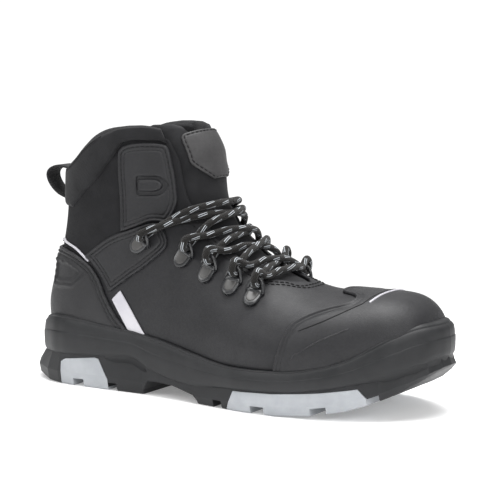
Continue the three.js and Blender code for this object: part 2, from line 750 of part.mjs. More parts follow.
const sides = [
  { name: "outer", sign: -1 },
  { name: "inner", sign: 1 },
];
function makeSidePieces() {
  for (const { name, sign } of sides) {
    const clear = (solid) => solid.subtract(soleSpace);
    addPiece(`ankle_band_${name}`, leatherLayer.intersect(oneSide(bandRows, sign)), "#303032", 0.55);
    addPiece(`ankle_patch_${name}`, leatherLayer.intersect(oneSide(ankleRows, sign)), "#303032", 0.55);
    const stripe = layer(gap, gap + stripeThickness).intersect(oneSide(stripeRows, sign));
    addPiece(`stripe_${name}`, clear(stripe), "#c9c4cc", 0.35);
  }
}

// Padded cuff that wraps over the collar edge
function makeCuff() {
  const cuffForm = layer(-wall - gap - cuffInside, gap + cuffOutside)
    .intersect(wholeSide(cuffRows))
    .subtract(aboveCollar(0));
  const upperSpace = layer(-wall - gap, gap).subtract(aboveCollar(gap - cuffRoll));
  const tongueSpace = frontStrip(
    throatFrom,
    lastEnd,
    (at) => tongueHalf(at) + 0.012,
    () => -wall - gap - tongueThickness * 2,
    () => 0,
    16,
  ).intersect(lastForm(-wall));
  const cuff = cuffForm.subtract(upperSpace).subtract(tongueSpace).subtract(throatCut);
  addPiece("collar_cuff", cuff, "#262628", 0.9);
}

// Pull loop: one strip of webbing, both ends sewn to the back of the cuff
function makePullLoop() {
  const backOfCuff = (up) => {
    const z = upZ(up);
    const row = findOnBack(z);
    const p = formPoint(row, 0, gap + cuffOutside + gap);
    return [p.x, p.z];
  };
  const [topX, topZ] = backOfCuff(loopTopUp);
  const [lowX, lowZ] = backOfCuff(loopLowUp);
  const t = webbingThickness;
  const middle = (topZ + lowZ) / 2;
  const outside = [
    [topX, topZ + t],
    [topX - loopReach * 0.5, topZ + t * 1.6],
    [topX - loopReach * 0.88, topZ - t * 0.6],
    [topX - loopReach, topZ - (topZ - middle) * 0.55],
    [topX - loopReach * 0.86, middle - t],
    [lowX - loopReach * 0.45, lowZ + (middle - lowZ) * 0.3],
    [lowX, lowZ - t],
  ];
  const inside = [
    [lowX, lowZ + t],
    [lowX - loopReach * 0.45 + t * 0.7, lowZ + (middle - lowZ) * 0.3 + t],
    [topX - loopReach * 0.86 + t, middle - t * 0.4],
    [topX - loopReach + t, topZ - (topZ - middle) * 0.5],
    [topX - loopReach * 0.8, topZ - t * 1.1],
    [topX - loopReach * 0.45, topZ - t * 0.1],
    [topX, topZ - t],
  ];
  const loop = sideSolid([...outside, ...inside], -webbingWidth / 2, webbingWidth / 2);
  addPiece("pull_loop", loop.subtract(lastForm(gap + cuffOutside + gap)), "#2b2b2e", 0.9);
}

// The row whose back stands at a height.
function findOnBack(z) {
  let low = 14;
  let high = lastEnd;
  for (let i = 0; i < 20; i++) {
    const mid = (low + high) / 2;
    if (lastPoint(mid, 0).z < z) low = mid;
    else high = mid;
  }
  return (low + high) / 2;
}

// A frame on the surface at a fitting: out is away from the upper, on is towards the throat.
function fittingFrame({ along, up, base, dip }, sign) {
  const { row, turn } = findOnSide(along, up);
  const at = sign < 0 ? turn : 1 - turn;
  const centre = formPoint(row, at, base);
  const out = formPoint(row, at, base + 1).sub(centre).normalize();
  const on = formPoint(row, at - sign * 0.02, base).sub(centre).normalize();
  const beside = out.clone().cross(on);
  const place = (t, s, n) =>
    centre.clone().addScaledVector(on, t).addScaledVector(beside, s).addScaledVector(out, n);
  return { row, turn: at, base, dip, place };
}

// A D-ring on its plate. The lace runs under the bow, round it and back over it.
function ringSolidOn(frame, plateLength, plateWidth) {
  const { place } = frame;
  const corner = plateWidth * 0.28;
  const back = bowFoot + ringWire * 0.4 - plateLength;
  const front = bowFoot + ringWire * 0.4;
  const half = plateWidth / 2;
  const outline = [
    [back, -half + corner],
    [back + corner, -half],
    [front - corner * 0.5, -half],
    [front, -half + corner * 0.5],
    [front, half - corner * 0.5],
    [front - corner * 0.5, half],
    [back + corner, half],
    [back, half - corner],
  ];
  const level = (n, inset) =>
    outline.map(([t, s]) => place(t * (1 - inset), s * (1 - inset), n));
  const plate = ringSolid(
    [level(-plateThickness, 0), level(plateThickness, 0.1)],
    outline.length - 1,
  );
  const bowSteps = 4;
  const bowPoints = Array.from({ length: bowSteps + 1 }, (_, i) => {
    const angle = (i / bowSteps) * Math.PI;
    const reach = Math.sin(angle) * bowHeight;
    return place(
      bowFoot + reach * Math.sin(bowTilt),
      Math.cos(angle) * bowHalfWidth,
      plateThickness * 0.4 + reach * Math.cos(bowTilt),
    );
  });
  return plate.add(tubeSolid(bowPoints, ringWire, 6, 1.2));
}

const bowTop = () => ({
  t: bowFoot + bowHeight * Math.sin(bowTilt),
  n: plateThickness * 0.4 + bowHeight * Math.cos(bowTilt),
});

function makeFittings() {
  for (const { name, sign } of sides) {
    fittingRows.forEach((row, i) => {
      const frame = fittingFrame(row, sign);
      const fitting = ringSolidOn(frame, plateLength, plateWidth);
      if (row.kind === "hook") {
        const boss = [plateThickness * 0.5, plateThickness + bossHeight].map((n) =>
          Array.from({ length: 12 }, (_, k) => {
            const angle = (k / 12) * 2 * Math.PI;
            const t = bowFoot - plateLength * 0.62 + Math.cos(angle) * bossRadius;
            return frame.place(t, Math.sin(angle) * bossRadius, n);
          }),
        );
        const hook = fitting.add(ringSolid(boss)).subtract(lastForm(row.base));
        addPiece(`lace_hook_${name}`, hook, "#242426", 0.4);
      } else {
        addPiece(`d_ring_${name}_${i + 1}`, fitting.subtract(lastForm(row.base)), "#2a2b2e", 0.4);
      }
    });
  }
}

// Lace: two halves that run up from ring to ring across the throat, with a bar at the bottom and one at the top.
// Each strand comes in over a bow, turns back round it and leaves under it.
function makeLace() {
  const bow = bowTop();
  const reach = laceRadius + ringWire + gap * 3;
  const aroundBow = (frame) =>
    [0.3, 0.62, 0.93, 1.24, 1.55].map((half) => {
      const angle = half * Math.PI;
      return frame.place(bow.t + Math.cos(angle) * reach, 0, bow.n + Math.sin(angle) * reach);
    });
  const across = (a, b, middleLift, shares) =>
    shares.map((k) => {
      const row = a.row + (b.row - a.row) * k - Math.min(a.dip, b.dip) * Math.sin(k * Math.PI) ** 2;
      const turn = a.turn + (b.turn - a.turn) * k;
      const middle = Math.sin(k * Math.PI) ** 4;
      const side = sideLift + a.base + (b.base - a.base) * k;
      return formPoint(row, turn, side + (middleLift - side) * middle);
    });
  const crossing = [0.2, 0.35, 0.5, 0.65, 0.8];
  const [outer, inner] = sides.map(({ sign }) => fittingRows.map((row) => fittingFrame(row, sign)));
  const half = (first, second, crossLift) => {
    const points = across(second[0], first[0], barLift, [0.5, 0.65, 0.8]);
    const last = first.length - 1;
    first.forEach((_, i) => {
      const here = i % 2 ? second[i] : first[i];
      const next = i % 2 ? first[i + 1] : second[i + 1];
      points.push(...aroundBow(here));
      if (i < last) points.push(...across(here, next, crossLift, crossing));
    });
    const [end, other] = last % 2 ? [second[last], first[last]] : [first[last], second[last]];
    points.push(...across(end, other, barLift, [0.2, 0.35, 0.5]));
    return tubeSolid(points, laceRadius);
  };
  const lace = half(outer, inner, lowCrossing).add(half(inner, outer, highCrossing));
  addPiece("lace", lace, "#2b2826", 0.85);
}

makeUpper();
makeSole();
makeInsole();
makeTongue();
makeToeCap();
makeCounter();
makeSidePieces();
makeCuff();
makePullLoop();
makeFittings();
makeLace();

export default root;
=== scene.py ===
import math
import bmesh
import bpy
import numpy as np
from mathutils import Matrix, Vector
from mathutils.bvhtree import BVHTree
from mathutils.geometry import delaunay_2d_cdt
from mathutils.kdtree import KDTree


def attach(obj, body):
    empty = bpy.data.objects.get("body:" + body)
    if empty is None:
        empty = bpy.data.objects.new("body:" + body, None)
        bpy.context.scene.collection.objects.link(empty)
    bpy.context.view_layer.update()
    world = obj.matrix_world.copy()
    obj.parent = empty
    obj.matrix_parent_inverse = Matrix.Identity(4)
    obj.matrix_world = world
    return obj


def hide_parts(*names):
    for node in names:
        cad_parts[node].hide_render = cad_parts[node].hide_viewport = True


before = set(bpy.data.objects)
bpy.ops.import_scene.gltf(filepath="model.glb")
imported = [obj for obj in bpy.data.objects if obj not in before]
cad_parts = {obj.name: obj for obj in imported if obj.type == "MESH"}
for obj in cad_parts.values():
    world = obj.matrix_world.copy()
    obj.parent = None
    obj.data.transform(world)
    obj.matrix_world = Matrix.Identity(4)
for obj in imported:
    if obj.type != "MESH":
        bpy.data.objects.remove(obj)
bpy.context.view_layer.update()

print("frame loaded:", len(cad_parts), "nodes")

# sizes of the boot in millimetres, as in the model
boot = {
    "soleLength": 316, "ballWidth": 112, "heelSetback": 46, "footbedHeight": 29,
    "instepHeight": 95, "shaftHeight": 54, "wall": 2.4, "gap": 0.3, "insole": 5,
}

# The last, toe to collar: backX, backUp, frontX, frontUp of each section.
lastProfile = [
    (0.963, 0.179, 0.964, 0.243), (0.957, 0.121, 0.958, 0.32), (0.945, 0.079, 0.942, 0.4),
    (0.908, 0.026, 0.908, 0.458), (0.854, -0.021, 0.859, 0.474), (0.788, -0.068, 0.788, 0.474),
    (0.712, -0.097, 0.709, 0.488), (0.636, -0.11, 0.637, 0.57), (0.557, -0.105, 0.577, 0.683),
    (0.472, -0.079, 0.532, 0.81), (0.373, -0.042, 0.498, 0.937), (0.266, -0.01, 0.486, 1.056),
    (0.152, 0, 0.479, 1.204), (0.08, 0.021, 0.476, 1.333), (0.053, 0.2, 0.473, 1.463),
    (0.065, 0.43, 0.468, 1.593), (0.08, 0.663, 0.463, 1.731), (0.092, 0.884, 0.449, 1.87),
    (0.1, 1.185, 0.43, 2.009), (0.1, 1.537, 0.41, 2.167), (0.1, 1.85, 0.39, 2.39),
]
# The widths of the same sections: mid, outer, inner, wide, crown, base.
lastWidths = [
    (0.04, 0.07, 0.05, 0.5, 2, 2), (0.04, 0.2, 0.135, 0.42, 2.3, 3.5), (0.04, 0.27, 0.2, 0.36, 2.5, 4.5),
    (0.04, 0.35, 0.285, 0.33, 2.6, 5), (0.04, 0.421, 0.358, 0.31, 2.5, 5), (0.036, 0.482, 0.398, 0.31, 2.3, 5),
    (0.027, 0.502, 0.412, 0.32, 2.1, 5), (0.018, 0.492, 0.394, 0.31, 1.95, 5), (0.009, 0.453, 0.355, 0.3, 1.9, 5),
    (0.004, 0.4, 0.322, 0.3, 1.95, 5), (0, 0.354, 0.318, 0.32, 2, 5), (0, 0.338, 0.322, 0.36, 2.1, 4.5),
    (0, 0.334, 0.326, 0.4, 2.2, 4), (0, 0.33, 0.326, 0.42, 2.3, 3), (0, 0.325, 0.325, 0.42, 2.4, 2.3),
    (0, 0.315, 0.315, 0.43, 2.4, 2.2), (0, 0.312, 0.312, 0.45, 2.4, 2.2), (0, 0.318, 0.318, 0.47, 2.4, 2.2),
    (0, 0.322, 0.322, 0.48, 2.4, 2.3), (0, 0.322, 0.322, 0.5, 2.4, 2.3), (0, 0.325, 0.325, 0.5, 2.4, 2.3),
]
lastRows = np.hstack([np.array(lastProfile, float), np.array(lastWidths, float)])
lastEnd = len(lastRows) - 1


def tableAt(table, at):
    at = np.asarray(at, float)
    end = len(table) - 1
    i = np.clip(np.floor(at).astype(int), 0, end - 1)
    t = (at - i)[..., None]
    a, b, c, d = (table[np.clip(i + k, 0, end)] for k in (-1, 0, 1, 2))
    return b + 0.5 * t * (c - a + t * (2 * a - 5 * b + 4 * c - d + t * (3 * (b - c) + d - a)))


def curveAt(points, x):
    # a smooth curve through (x, value) points with rising x
    table = np.array(points, float)
    at = np.interp(x, table[:, 0], np.arange(len(table)))
    return tableAt(table, at)[..., 1]


def alongX(share):
    return np.asarray(share, float) * boot["soleLength"] - boot["heelSetback"]


def shareAt(x):
    return (np.asarray(x, float) + boot["heelSetback"]) / boot["soleLength"]


def upZ(share):
    share = np.asarray(share, float)
    low = np.minimum(share, 1) * boot["instepHeight"]
    return boot["footbedHeight"] + low + np.maximum(share - 1, 0) * boot["shaftHeight"]


def lastPoints(row, turn):
    row, turn = np.broadcast_arrays(np.asarray(row, float), np.asarray(turn, float))
    backX, backUp, frontX, frontUp, mid, outer, inner, wide, crown, base = np.moveaxis(tableAt(lastRows, row), -1, 0)
    angle = (turn - 0.25) * 2 * np.pi
    rise, spread = np.sin(angle), np.cos(angle)
    power = 2 / np.where(rise > 0, crown, base)
    reach = np.abs(rise) ** power
    along = np.where(rise > 0, wide + (1 - wide) * reach, wide * (1 - reach))
    across = np.abs(spread) ** power * np.where(spread > 0, -outer, inner) * boot["ballWidth"]
    x = alongX(backX) * (1 - along) + alongX(frontX) * along
    z = upZ(backUp) * (1 - along) + upZ(frontUp) * along
    return np.stack([x, mid * boot["ballWidth"] + across, z], -1)


def formNormals(row, turn):
    row = np.asarray(row, float)
    alongRow = lastPoints(np.minimum(row + 0.1, lastEnd), turn) - lastPoints(np.maximum(row - 0.1, 0), turn)
    alongTurn = lastPoints(row, turn + 0.02) - lastPoints(row, turn - 0.02)
    n = np.cross(alongTurn, alongRow)
    return n / np.maximum(np.linalg.norm(n, axis=-1, keepdims=True), 1e-9)


def formPoints(row, turn, offset):
    turn = np.asarray(turn, float)
    return lastPoints(row, turn) + formNormals(row, turn) * np.asarray(offset, float)[..., None]


# where a side-view point (x, z) lies on the last, as row and turn of the outer side
sideRows = np.linspace(0, lastEnd, 401)
sideTurns = np.linspace(0.04, 0.5, 139)
sideTable = lastPoints(sideRows[:, None], sideTurns[None, :])
sideTree = KDTree(sideTable.shape[0] * sideTable.shape[1])
for index, p in enumerate(sideTable.reshape(-1, 3)):
    sideTree.insert((p[0], 0, p[2]), index)
sideTree.balance()


def sectionEnds(row):
    ends = tableAt(lastRows, row)[..., :4]
    back = np.stack([alongX(ends[..., 0]), upZ(ends[..., 1])], -1)
    front = np.stack([alongX(ends[..., 2]), upZ(ends[..., 3])], -1)
    return back, front - back


def offSection(row, points):
    back, reach = sectionEnds(row)
    off = points - back
    return (off[:, 0] * reach[:, 1] - off[:, 1] * reach[:, 0]) / np.linalg.norm(reach, axis=1)


def sideToForm(points):
    # the section through each point, then the turn at which its side view meets it
    points = np.asarray(points, float)
    found = np.array([sideTree.find((x, 0, z))[1] for x, z in points])
    row = sideRows[found // len(sideTurns)]
    for _ in range(8):
        miss = offSection(row, points)
        slope = (offSection(row + 0.01, points) - miss) / 0.01
        row = np.clip(row - np.clip(miss / np.where(np.abs(slope) < 1e-3, np.inf, slope), -0.3, 0.3), 0, lastEnd)
    back, reach = sectionEnds(row)
    share = np.clip(np.sum((points - back) * reach, axis=1) / np.sum(reach * reach, axis=1), 0, 1)
    wide, crown, base = (tableAt(lastRows, row)[:, k] for k in (7, 8, 9))
    over = np.clip((share - wide) / (1 - wide), 0, 1) ** (crown / 2)
    under = np.clip((wide - share) / wide, 0, 1) ** (base / 2)
    rise = np.where(share > wide, over, -under)
    return row, 0.25 + np.arcsin(rise) / (2 * np.pi)


# meshes

def makeMesh(name, points, faces, materials, faceMaterial=None, smooth=True):
    mesh = bpy.data.meshes.new(name)
    mesh.from_pydata((np.asarray(points) * 0.001).tolist(), [], [list(map(int, f)) for f in faces])
    mesh.validate()
    if smooth:
        mesh.polygons.foreach_set("use_smooth", [True] * len(mesh.polygons))
    for m in materials if isinstance(materials, (list, tuple)) else [materials]:
        mesh.materials.append(m)
    if faceMaterial is not None:
        mesh.polygons.foreach_set("material_index", faceMaterial)
    mesh.update()
    piece = bpy.data.objects.new(name, mesh)
    bpy.context.scene.collection.objects.link(piece)
    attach(piece, "root")
    return piece


def outwards(piece):
    bm = bmesh.new()
    bm.from_mesh(piece.data)
    bmesh.ops.recalc_face_normals(bm, faces=bm.faces)
    bm.to_mesh(piece.data)
    bm.free()


def gridFaces(rows, columns, closed=False, start=0):
    faces = []
    for r in range(rows - 1):
        for c in range(columns if closed else columns - 1):
            a, b = start + r * columns + c, start + r * columns + (c + 1) % columns
            faces.append((a, b, b + columns, a + columns))
    return faces


def setPointValues(piece, name, values):
    layer = piece.data.attributes.new(name, "FLOAT", "POINT")
    layer.data.foreach_set("value", np.asarray(values, np.float32))


def sampleCurve(points, step, closed=False):
    # a smooth curve through the points, in even steps
    points = np.asarray(points, float)
    if closed:
        points = np.vstack([points[-2:-1] if np.allclose(points[0], points[-1]) else points[-1:], points, points[:2]])
        at = np.linspace(1, len(points) - 2, 40 * (len(points) - 3))
    else:
        at = np.linspace(0, len(points) - 1, 40 * (len(points) - 1))
    fine = tableAt(points, at)
    run = np.r_[0, np.cumsum(np.linalg.norm(np.diff(fine, axis=0), axis=1))]
    count = max(int(round(run[-1] / step)), 2)
    even = np.linspace(0, run[-1], count + 1)
    out = np.stack([np.interp(even, run, fine[:, k]) for k in range(fine.shape[1])], -1)
    return out[:-1] if closed else out


def loopWithCorners(points, step, soften=2):
    # points are (x, y) or (x, y, 1) where the outline has a corner
    corners = [i for i, p in enumerate(points) if len(p) > 2]
    flat = [tuple(p[:2]) for p in points]
    if not corners:
        loop = sampleCurve(flat, step, closed=True)
    else:
        flat = flat[corners[0]:] + flat[:corners[0] + 1]
        marks = [c - corners[0] for c in corners] + [len(flat) - 1]
        runs = [sampleCurve(flat[a:b + 1], step)[:-1] for a, b in zip(marks, marks[1:])]
        loop = np.vstack(runs)
    for _ in range(soften):
        loop = (np.roll(loop, 1, 0) + 2 * loop + np.roll(loop, -1, 0)) / 4
    return loop


def insideLoop(loop, points):
    inside = np.zeros(len(points), bool)
    nextLoop = np.roll(loop, -1, 0)
    for (x1, y1), (x2, y2) in zip(loop, nextLoop):
        if y1 == y2:
            continue
        crosses = (y1 > points[:, 1]) != (y2 > points[:, 1])
        inside ^= crosses & (points[:, 0] < (x2 - x1) * (points[:, 1] - y1) / (y2 - y1) + x1)
    return inside


def treeOf(points):
    tree = KDTree(len(points))
    for i, p in enumerate(points):
        tree.insert((p[0], p[1], p[2] if len(p) > 2 else 0), i)
    tree.balance()
    return tree


def nearest(tree, points):
    return np.array([tree.find((p[0], p[1], p[2] if len(p) > 2 else 0))[2] for p in points])


def inwardLoop(loop, distance, dense):
    # the outline moved in by a distance, without the parts that fold over
    ahead = np.roll(loop, -1, 0) - np.roll(loop, 1, 0)
    ahead /= np.maximum(np.linalg.norm(ahead, axis=1, keepdims=True), 1e-9)
    area = np.sum(loop[:, 0] * np.roll(loop[:, 1], -1) - np.roll(loop[:, 0], -1) * loop[:, 1])
    inward = np.stack([-ahead[:, 1], ahead[:, 0]], -1) * np.sign(area)
    moved = loop + inward * distance
    return moved[nearest(dense, moved) > distance * 0.94]


def signedDistance(loop, points):
    # how far points lie inside an outline; negative outside
    ahead = np.roll(loop, -1, 0) - loop
    best = np.full(len(points), np.inf)
    for p, d in zip(loop, ahead):
        t = np.clip((points - p) @ d / max(d @ d, 1e-9), 0, 1)
        best = np.minimum(best, np.linalg.norm(points - p - t[:, None] * d, axis=1))
    return np.where(insideLoop(loop, points), best, -best)


def stepUp(distance, width=0.8):
    t = np.clip(distance / width + 0.5, 0, 1)
    return t * t * (3 - 2 * t)


patchRings = [0.22, 0.5, 0.9, 1.4, 1.9, 2.3, 2.7, 3.1, 3.6, 4.2, 4.7, 5.1, 5.5, 6.2, 7.4]


def layPatch(name, loop, toForm, lay, material, shape=None, cell=2.4, rings=patchRings, details=()):
    # a sheet of leather laid on the last: its outline in a flat plan, its edge rolled down, its seams sunk
    dense = treeOf(np.vstack([loop * (1 - k) + np.roll(loop, -1, 0) * k for k in (0, 0.25, 0.5, 0.75)]))
    plan = [loop] + [inwardLoop(loop, d, dense) for d in rings]
    low, high = loop.min(0), loop.max(0)
    nx, ny = (np.maximum((high - low) / cell, 2)).astype(int) + 1
    gx, gy = np.meshgrid(np.linspace(low[0], high[0], nx), np.linspace(low[1], high[1], ny))
    gx = gx + (np.arange(ny)[:, None] % 2) * cell / 2
    grid = np.stack([gx.ravel(), gy.ravel()], -1)
    grid = grid[insideLoop(loop, grid)]
    if len(grid):
        grid = grid[nearest(dense, grid) > rings[-1] + cell * 0.6]
        for detail in details:
            grid = grid[np.abs(signedDistance(detail, grid)) > 1.1]
        plan.append(grid)
    for detail in details:
        ahead = np.roll(detail, -1, 0) - np.roll(detail, 1, 0)
        ahead /= np.linalg.norm(ahead, axis=1, keepdims=True)
        plan += [detail + np.stack([-ahead[:, 1], ahead[:, 0]], -1) * k for k in (-0.45, -0.15, 0.15, 0.45)]
    plan = np.vstack(plan)
    count = len(loop)
    verts, _, faces, *_ = delaunay_2d_cdt(
        [Vector(p) for p in plan], [], [list(range(count))], 1, 1e-4)
    flat = np.array([(v.x, v.y) for v in verts])
    row, turn = toForm(flat)
    surface = lastPoints(row, turn)
    rowLoop, turnLoop = toForm(np.vstack([loop, (loop + np.roll(loop, -1, 0)) / 2]))
    edge = nearest(treeOf(lastPoints(rowLoop, turnLoop)), surface)
    edge = np.where(edge < 0.05, 0, edge)
    roll = np.clip(edge / lay["roll"], 0, 1)
    height = lay["base"] + lay["edge"] + (lay["thickness"] - lay["edge"]) * np.sqrt(1 - (1 - roll) ** 2)
    for seam in lay.get("seams", []):
        height = height - lay["sunk"] * np.exp(-((edge - seam) / 0.6) ** 2)
    height = height + lay.get("welt", 0) * np.exp(-((edge - 1.1) / 0.6) ** 2)
    if "crown" in lay:
        height = height + lay["crown"] * (1 - np.exp(-edge / 9))
    if shape:
        height = height + shape(surface, edge, flat)
    normal = formNormals(row, turn)
    top = surface + normal * height[:, None]
    bottom = surface + normal * lay["base"]
    n = len(top)
    faces = [tuple(f) for f in faces]
    used = {}
    for f in faces:
        for a, b in zip(f, f[1:] + f[:1]):
            used[(a, b)] = True
    rim = [(a, b) for a, b in used if (b, a) not in used]
    allFaces = faces + [tuple(reversed([i + n for i in f])) for f in faces]
    allFaces += [(b, a, a + n, b + n) for a, b in rim]
    piece = makeMesh(name, np.vstack([top, bottom]), allFaces, material)
    outwards(piece)
    setPointValues(piece, "edgeDistance", np.r_[edge, edge])
    return piece


# shader helpers

def addNode(tree, kind, values=None, **settings):
    made = tree.nodes.new(kind)
    for key, value in settings.items():
        setattr(made, key, value)
    for key, value in (values or {}).items():
        if isinstance(value, bpy.types.NodeSocket):
            tree.links.new(value, made.inputs[key])
        else:
            made.inputs[key].default_value = value
    return made


def mathNode(tree, operation, a, b=0.0, clamp=False):
    return addNode(tree, "ShaderNodeMath", {0: a, 1: b}, operation=operation, use_clamp=clamp).outputs[0]


def noiseNode(tree, place, scale, detail=3.0, roughness=0.55, distortion=0.0):
    values = {"Vector": place, "Scale": scale, "Detail": detail, "Roughness": roughness, "Distortion": distortion}
    return addNode(tree, "ShaderNodeTexNoise", values).outputs[0]


def mixColour(tree, share, a, b):
    made = addNode(tree, "ShaderNodeMix", data_type="RGBA")
    for index, value in ((0, share), (6, a), (7, b)):
        if isinstance(value, bpy.types.NodeSocket):
            tree.links.new(value, made.inputs[index])
        else:
            made.inputs[index].default_value = value if index == 0 else (*value, 1)[:4]
    return made.outputs[2]


def rangeNode(tree, value, fromLow, fromHigh, low, high):
    values = {0: value, 1: fromLow, 2: fromHigh, 3: low, 4: high}
    return addNode(tree, "ShaderNodeMapRange", values, clamp=True).outputs[0]


def newGroup(name, inputs, outputs):
    group = bpy.data.node_groups.new(name, "ShaderNodeTree")
    for label, kind, value in inputs:
        socket = group.interface.new_socket(name=label, in_out="INPUT", socket_type=kind)
        if value is not None:
            socket.default_value = value
    for label, kind in outputs:
        group.interface.new_socket(name=label, in_out="OUTPUT", socket_type=kind)
    return group, group.nodes.new("NodeGroupInput").outputs, group.nodes.new("NodeGroupOutput").inputs


def millimetres(tree):
    place = addNode(tree, "ShaderNodeTexCoord").outputs["Object"]
    scaled = addNode(tree, "ShaderNodeVectorMath", {0: place, 1: (1000, 1000, 1000)}, operation="MULTIPLY")
    return scaled.outputs[0]


def leatherGrainGroup():
    group, given, out = newGroup(
        "leatherGrain",
        [("Cell", "NodeSocketFloat", 0.9), ("Creases", "NodeSocketFloat", 0.5)],
        [("Height", "NodeSocketFloat"), ("Tone", "NodeSocketFloat")])
    place = millimetres(group)
    density = mathNode(group, "DIVIDE", 1.0, given["Cell"])
    bend = addNode(group, "ShaderNodeTexNoise", {"Vector": place, "Scale": 0.25, "Detail": 2.0}).outputs[1]
    bent = addNode(group, "ShaderNodeVectorMath", {0: bend, 1: (1.6, 1.6, 1.6), 2: place}, operation="MULTIPLY_ADD")
    cells = addNode(
        group, "ShaderNodeTexVoronoi", {"Vector": bent.outputs[0], "Scale": density, "Randomness": 1.0},
        feature="DISTANCE_TO_EDGE").outputs[0]
    pits = rangeNode(group, cells, 0.0, 0.22, 0.0, 1.0)
    soft = noiseNode(group, place, mathNode(group, "MULTIPLY", density, 0.5), 4.0)
    broad = noiseNode(group, place, 0.05, 3.0)
    lines = addNode(group, "ShaderNodeTexNoise", {"Vector": place, "Scale": 0.16, "Detail": 5.0, "Distortion": 1.2})
    crease = mathNode(group, "ABSOLUTE", mathNode(group, "SUBTRACT", lines.outputs[0], 0.5))
    crease = rangeNode(group, crease, 0.0, 0.03, 1.0, 0.0)
    height = mathNode(group, "MULTIPLY_ADD", pits, 0.35)
    height.node.inputs[2].default_value = 0.0
    height = mathNode(group, "ADD", height, mathNode(group, "MULTIPLY", soft, 0.6))
    height = mathNode(group, "SUBTRACT", height, mathNode(group, "MULTIPLY", crease, given["Creases"]))
    group.links.new(height, out["Height"])
    tone = mathNode(group, "ADD", mathNode(group, "MULTIPLY", soft, 0.45), mathNode(group, "MULTIPLY", broad, 0.55))
    group.links.new(tone, out["Tone"])
    return group


def edgeWearGroup():
    group, given, out = newGroup(
        "edgeWear", [("Width", "NodeSocketFloat", 1.6), ("Amount", "NodeSocketFloat", 0.5)],
        [("Mask", "NodeSocketFloat")])
    distance = addNode(group, "ShaderNodeAttribute", attribute_name="edgeDistance").outputs["Fac"]
    near = mathNode(group, "SUBTRACT", 1.0, mathNode(group, "DIVIDE", distance, given["Width"]), clamp=True)
    patchy = rangeNode(group, noiseNode(group, millimetres(group), 0.35, 4.0), 0.42, 0.62, 0.0, 1.0)
    group.links.new(mathNode(group, "MULTIPLY", mathNode(group, "MULTIPLY", near, patchy), given["Amount"]), out["Mask"])
    return group


def dustGroup():
    group, given, out = newGroup(
        "settledDust", [("Amount", "NodeSocketFloat", 0.15)], [("Mask", "NodeSocketFloat")])
    facing = addNode(group, "ShaderNodeNewGeometry").outputs["Normal"]
    up = addNode(group, "ShaderNodeSeparateXYZ", {0: facing}).outputs[2]
    lying = rangeNode(group, up, 0.1, 1.0, 0.15, 1.0)
    patchy = rangeNode(group, noiseNode(group, millimetres(group), 0.12, 5.0), 0.4, 0.75, 0.0, 1.0)
    group.links.new(mathNode(group, "MULTIPLY", mathNode(group, "MULTIPLY", lying, patchy), given["Amount"]), out["Mask"])
    return group


def weaveGroup():
    group, given, out = newGroup(
        "clothWeave", [("Thread", "NodeSocketFloat", 0.5)], [("Height", "NodeSocketFloat"), ("Tone", "NodeSocketFloat")])
    place = millimetres(group)
    turned = addNode(group, "ShaderNodeMapping", {"Vector": place, "Rotation": (0.0, 0.6, 0.5)}).outputs[0]
    parts = addNode(group, "ShaderNodeSeparateXYZ", {0: turned}).outputs
    rate = mathNode(group, "DIVIDE", math.pi, given["Thread"])
    waves = [mathNode(group, "SINE", mathNode(group, "MULTIPLY", parts[i], rate)) for i in (0, 1, 2)]
    knit = mathNode(group, "MULTIPLY", waves[0], waves[2])
    knit = mathNode(group, "ADD", knit, mathNode(group, "MULTIPLY", waves[1], 0.5))
    fuzz = noiseNode(group, place, 1.6, 5.0, 0.7)
    height = mathNode(group, "ADD", mathNode(group, "MULTIPLY", knit, 0.35), fuzz)
    group.links.new(height, out["Height"])
    group.links.new(mathNode(group, "ADD", mathNode(group, "MULTIPLY", noiseNode(group, place, 0.08, 4.0), 0.6),
                             mathNode(group, "MULTIPLY", fuzz, 0.4)), out["Tone"])
    return group


grainGroup, wearGroup, dust, weave = leatherGrainGroup(), edgeWearGroup(), dustGroup(), weaveGroup()


def startMaterial(name):
    made = bpy.data.materials.new(name)
    made.use_nodes = True
    tree = made.node_tree
    return made, tree, tree.nodes["Principled BSDF"]


def useGroup(tree, group, **values):
    made = addNode(tree, "ShaderNodeGroup", node_tree=group)
    for key, value in values.items():
        made.inputs[key].default_value = value
    return made.outputs


def leatherMaterial(name, look):
    made, tree, shader = startMaterial(name)
    grain = useGroup(tree, grainGroup, Cell=look["cell"], Creases=look["creases"])
    worn = useGroup(tree, wearGroup, Width=look["wearWidth"], Amount=look["wear"])["Mask"]
    dusty = useGroup(tree, dust, Amount=look["dust"])["Mask"]
    colour = mixColour(tree, rangeNode(tree, grain["Tone"], 0.35, 0.65, 0.0, 1.0), look["dark"], look["light"])
    colour = mixColour(tree, worn, colour, look["worn"])
    colour = mixColour(tree, dusty, colour, look["dustColour"])
    tree.links.new(colour, shader.inputs["Base Color"])
    gloss = rangeNode(tree, grain["Tone"], 0.3, 0.7, look["roughness"] + 0.07, look["roughness"] - 0.07)
    tree.links.new(mathNode(tree, "ADD", gloss, mathNode(tree, "MULTIPLY", dusty, 0.3)), shader.inputs["Roughness"])
    bump = addNode(tree, "ShaderNodeBump", {"Strength": look["bump"], "Distance": 0.0003, "Height": grain["Height"]})
    tree.links.new(bump.outputs[0], shader.inputs["Normal"])
    shader.inputs["Specular IOR Level"].default_value = look["specular"]
    return made


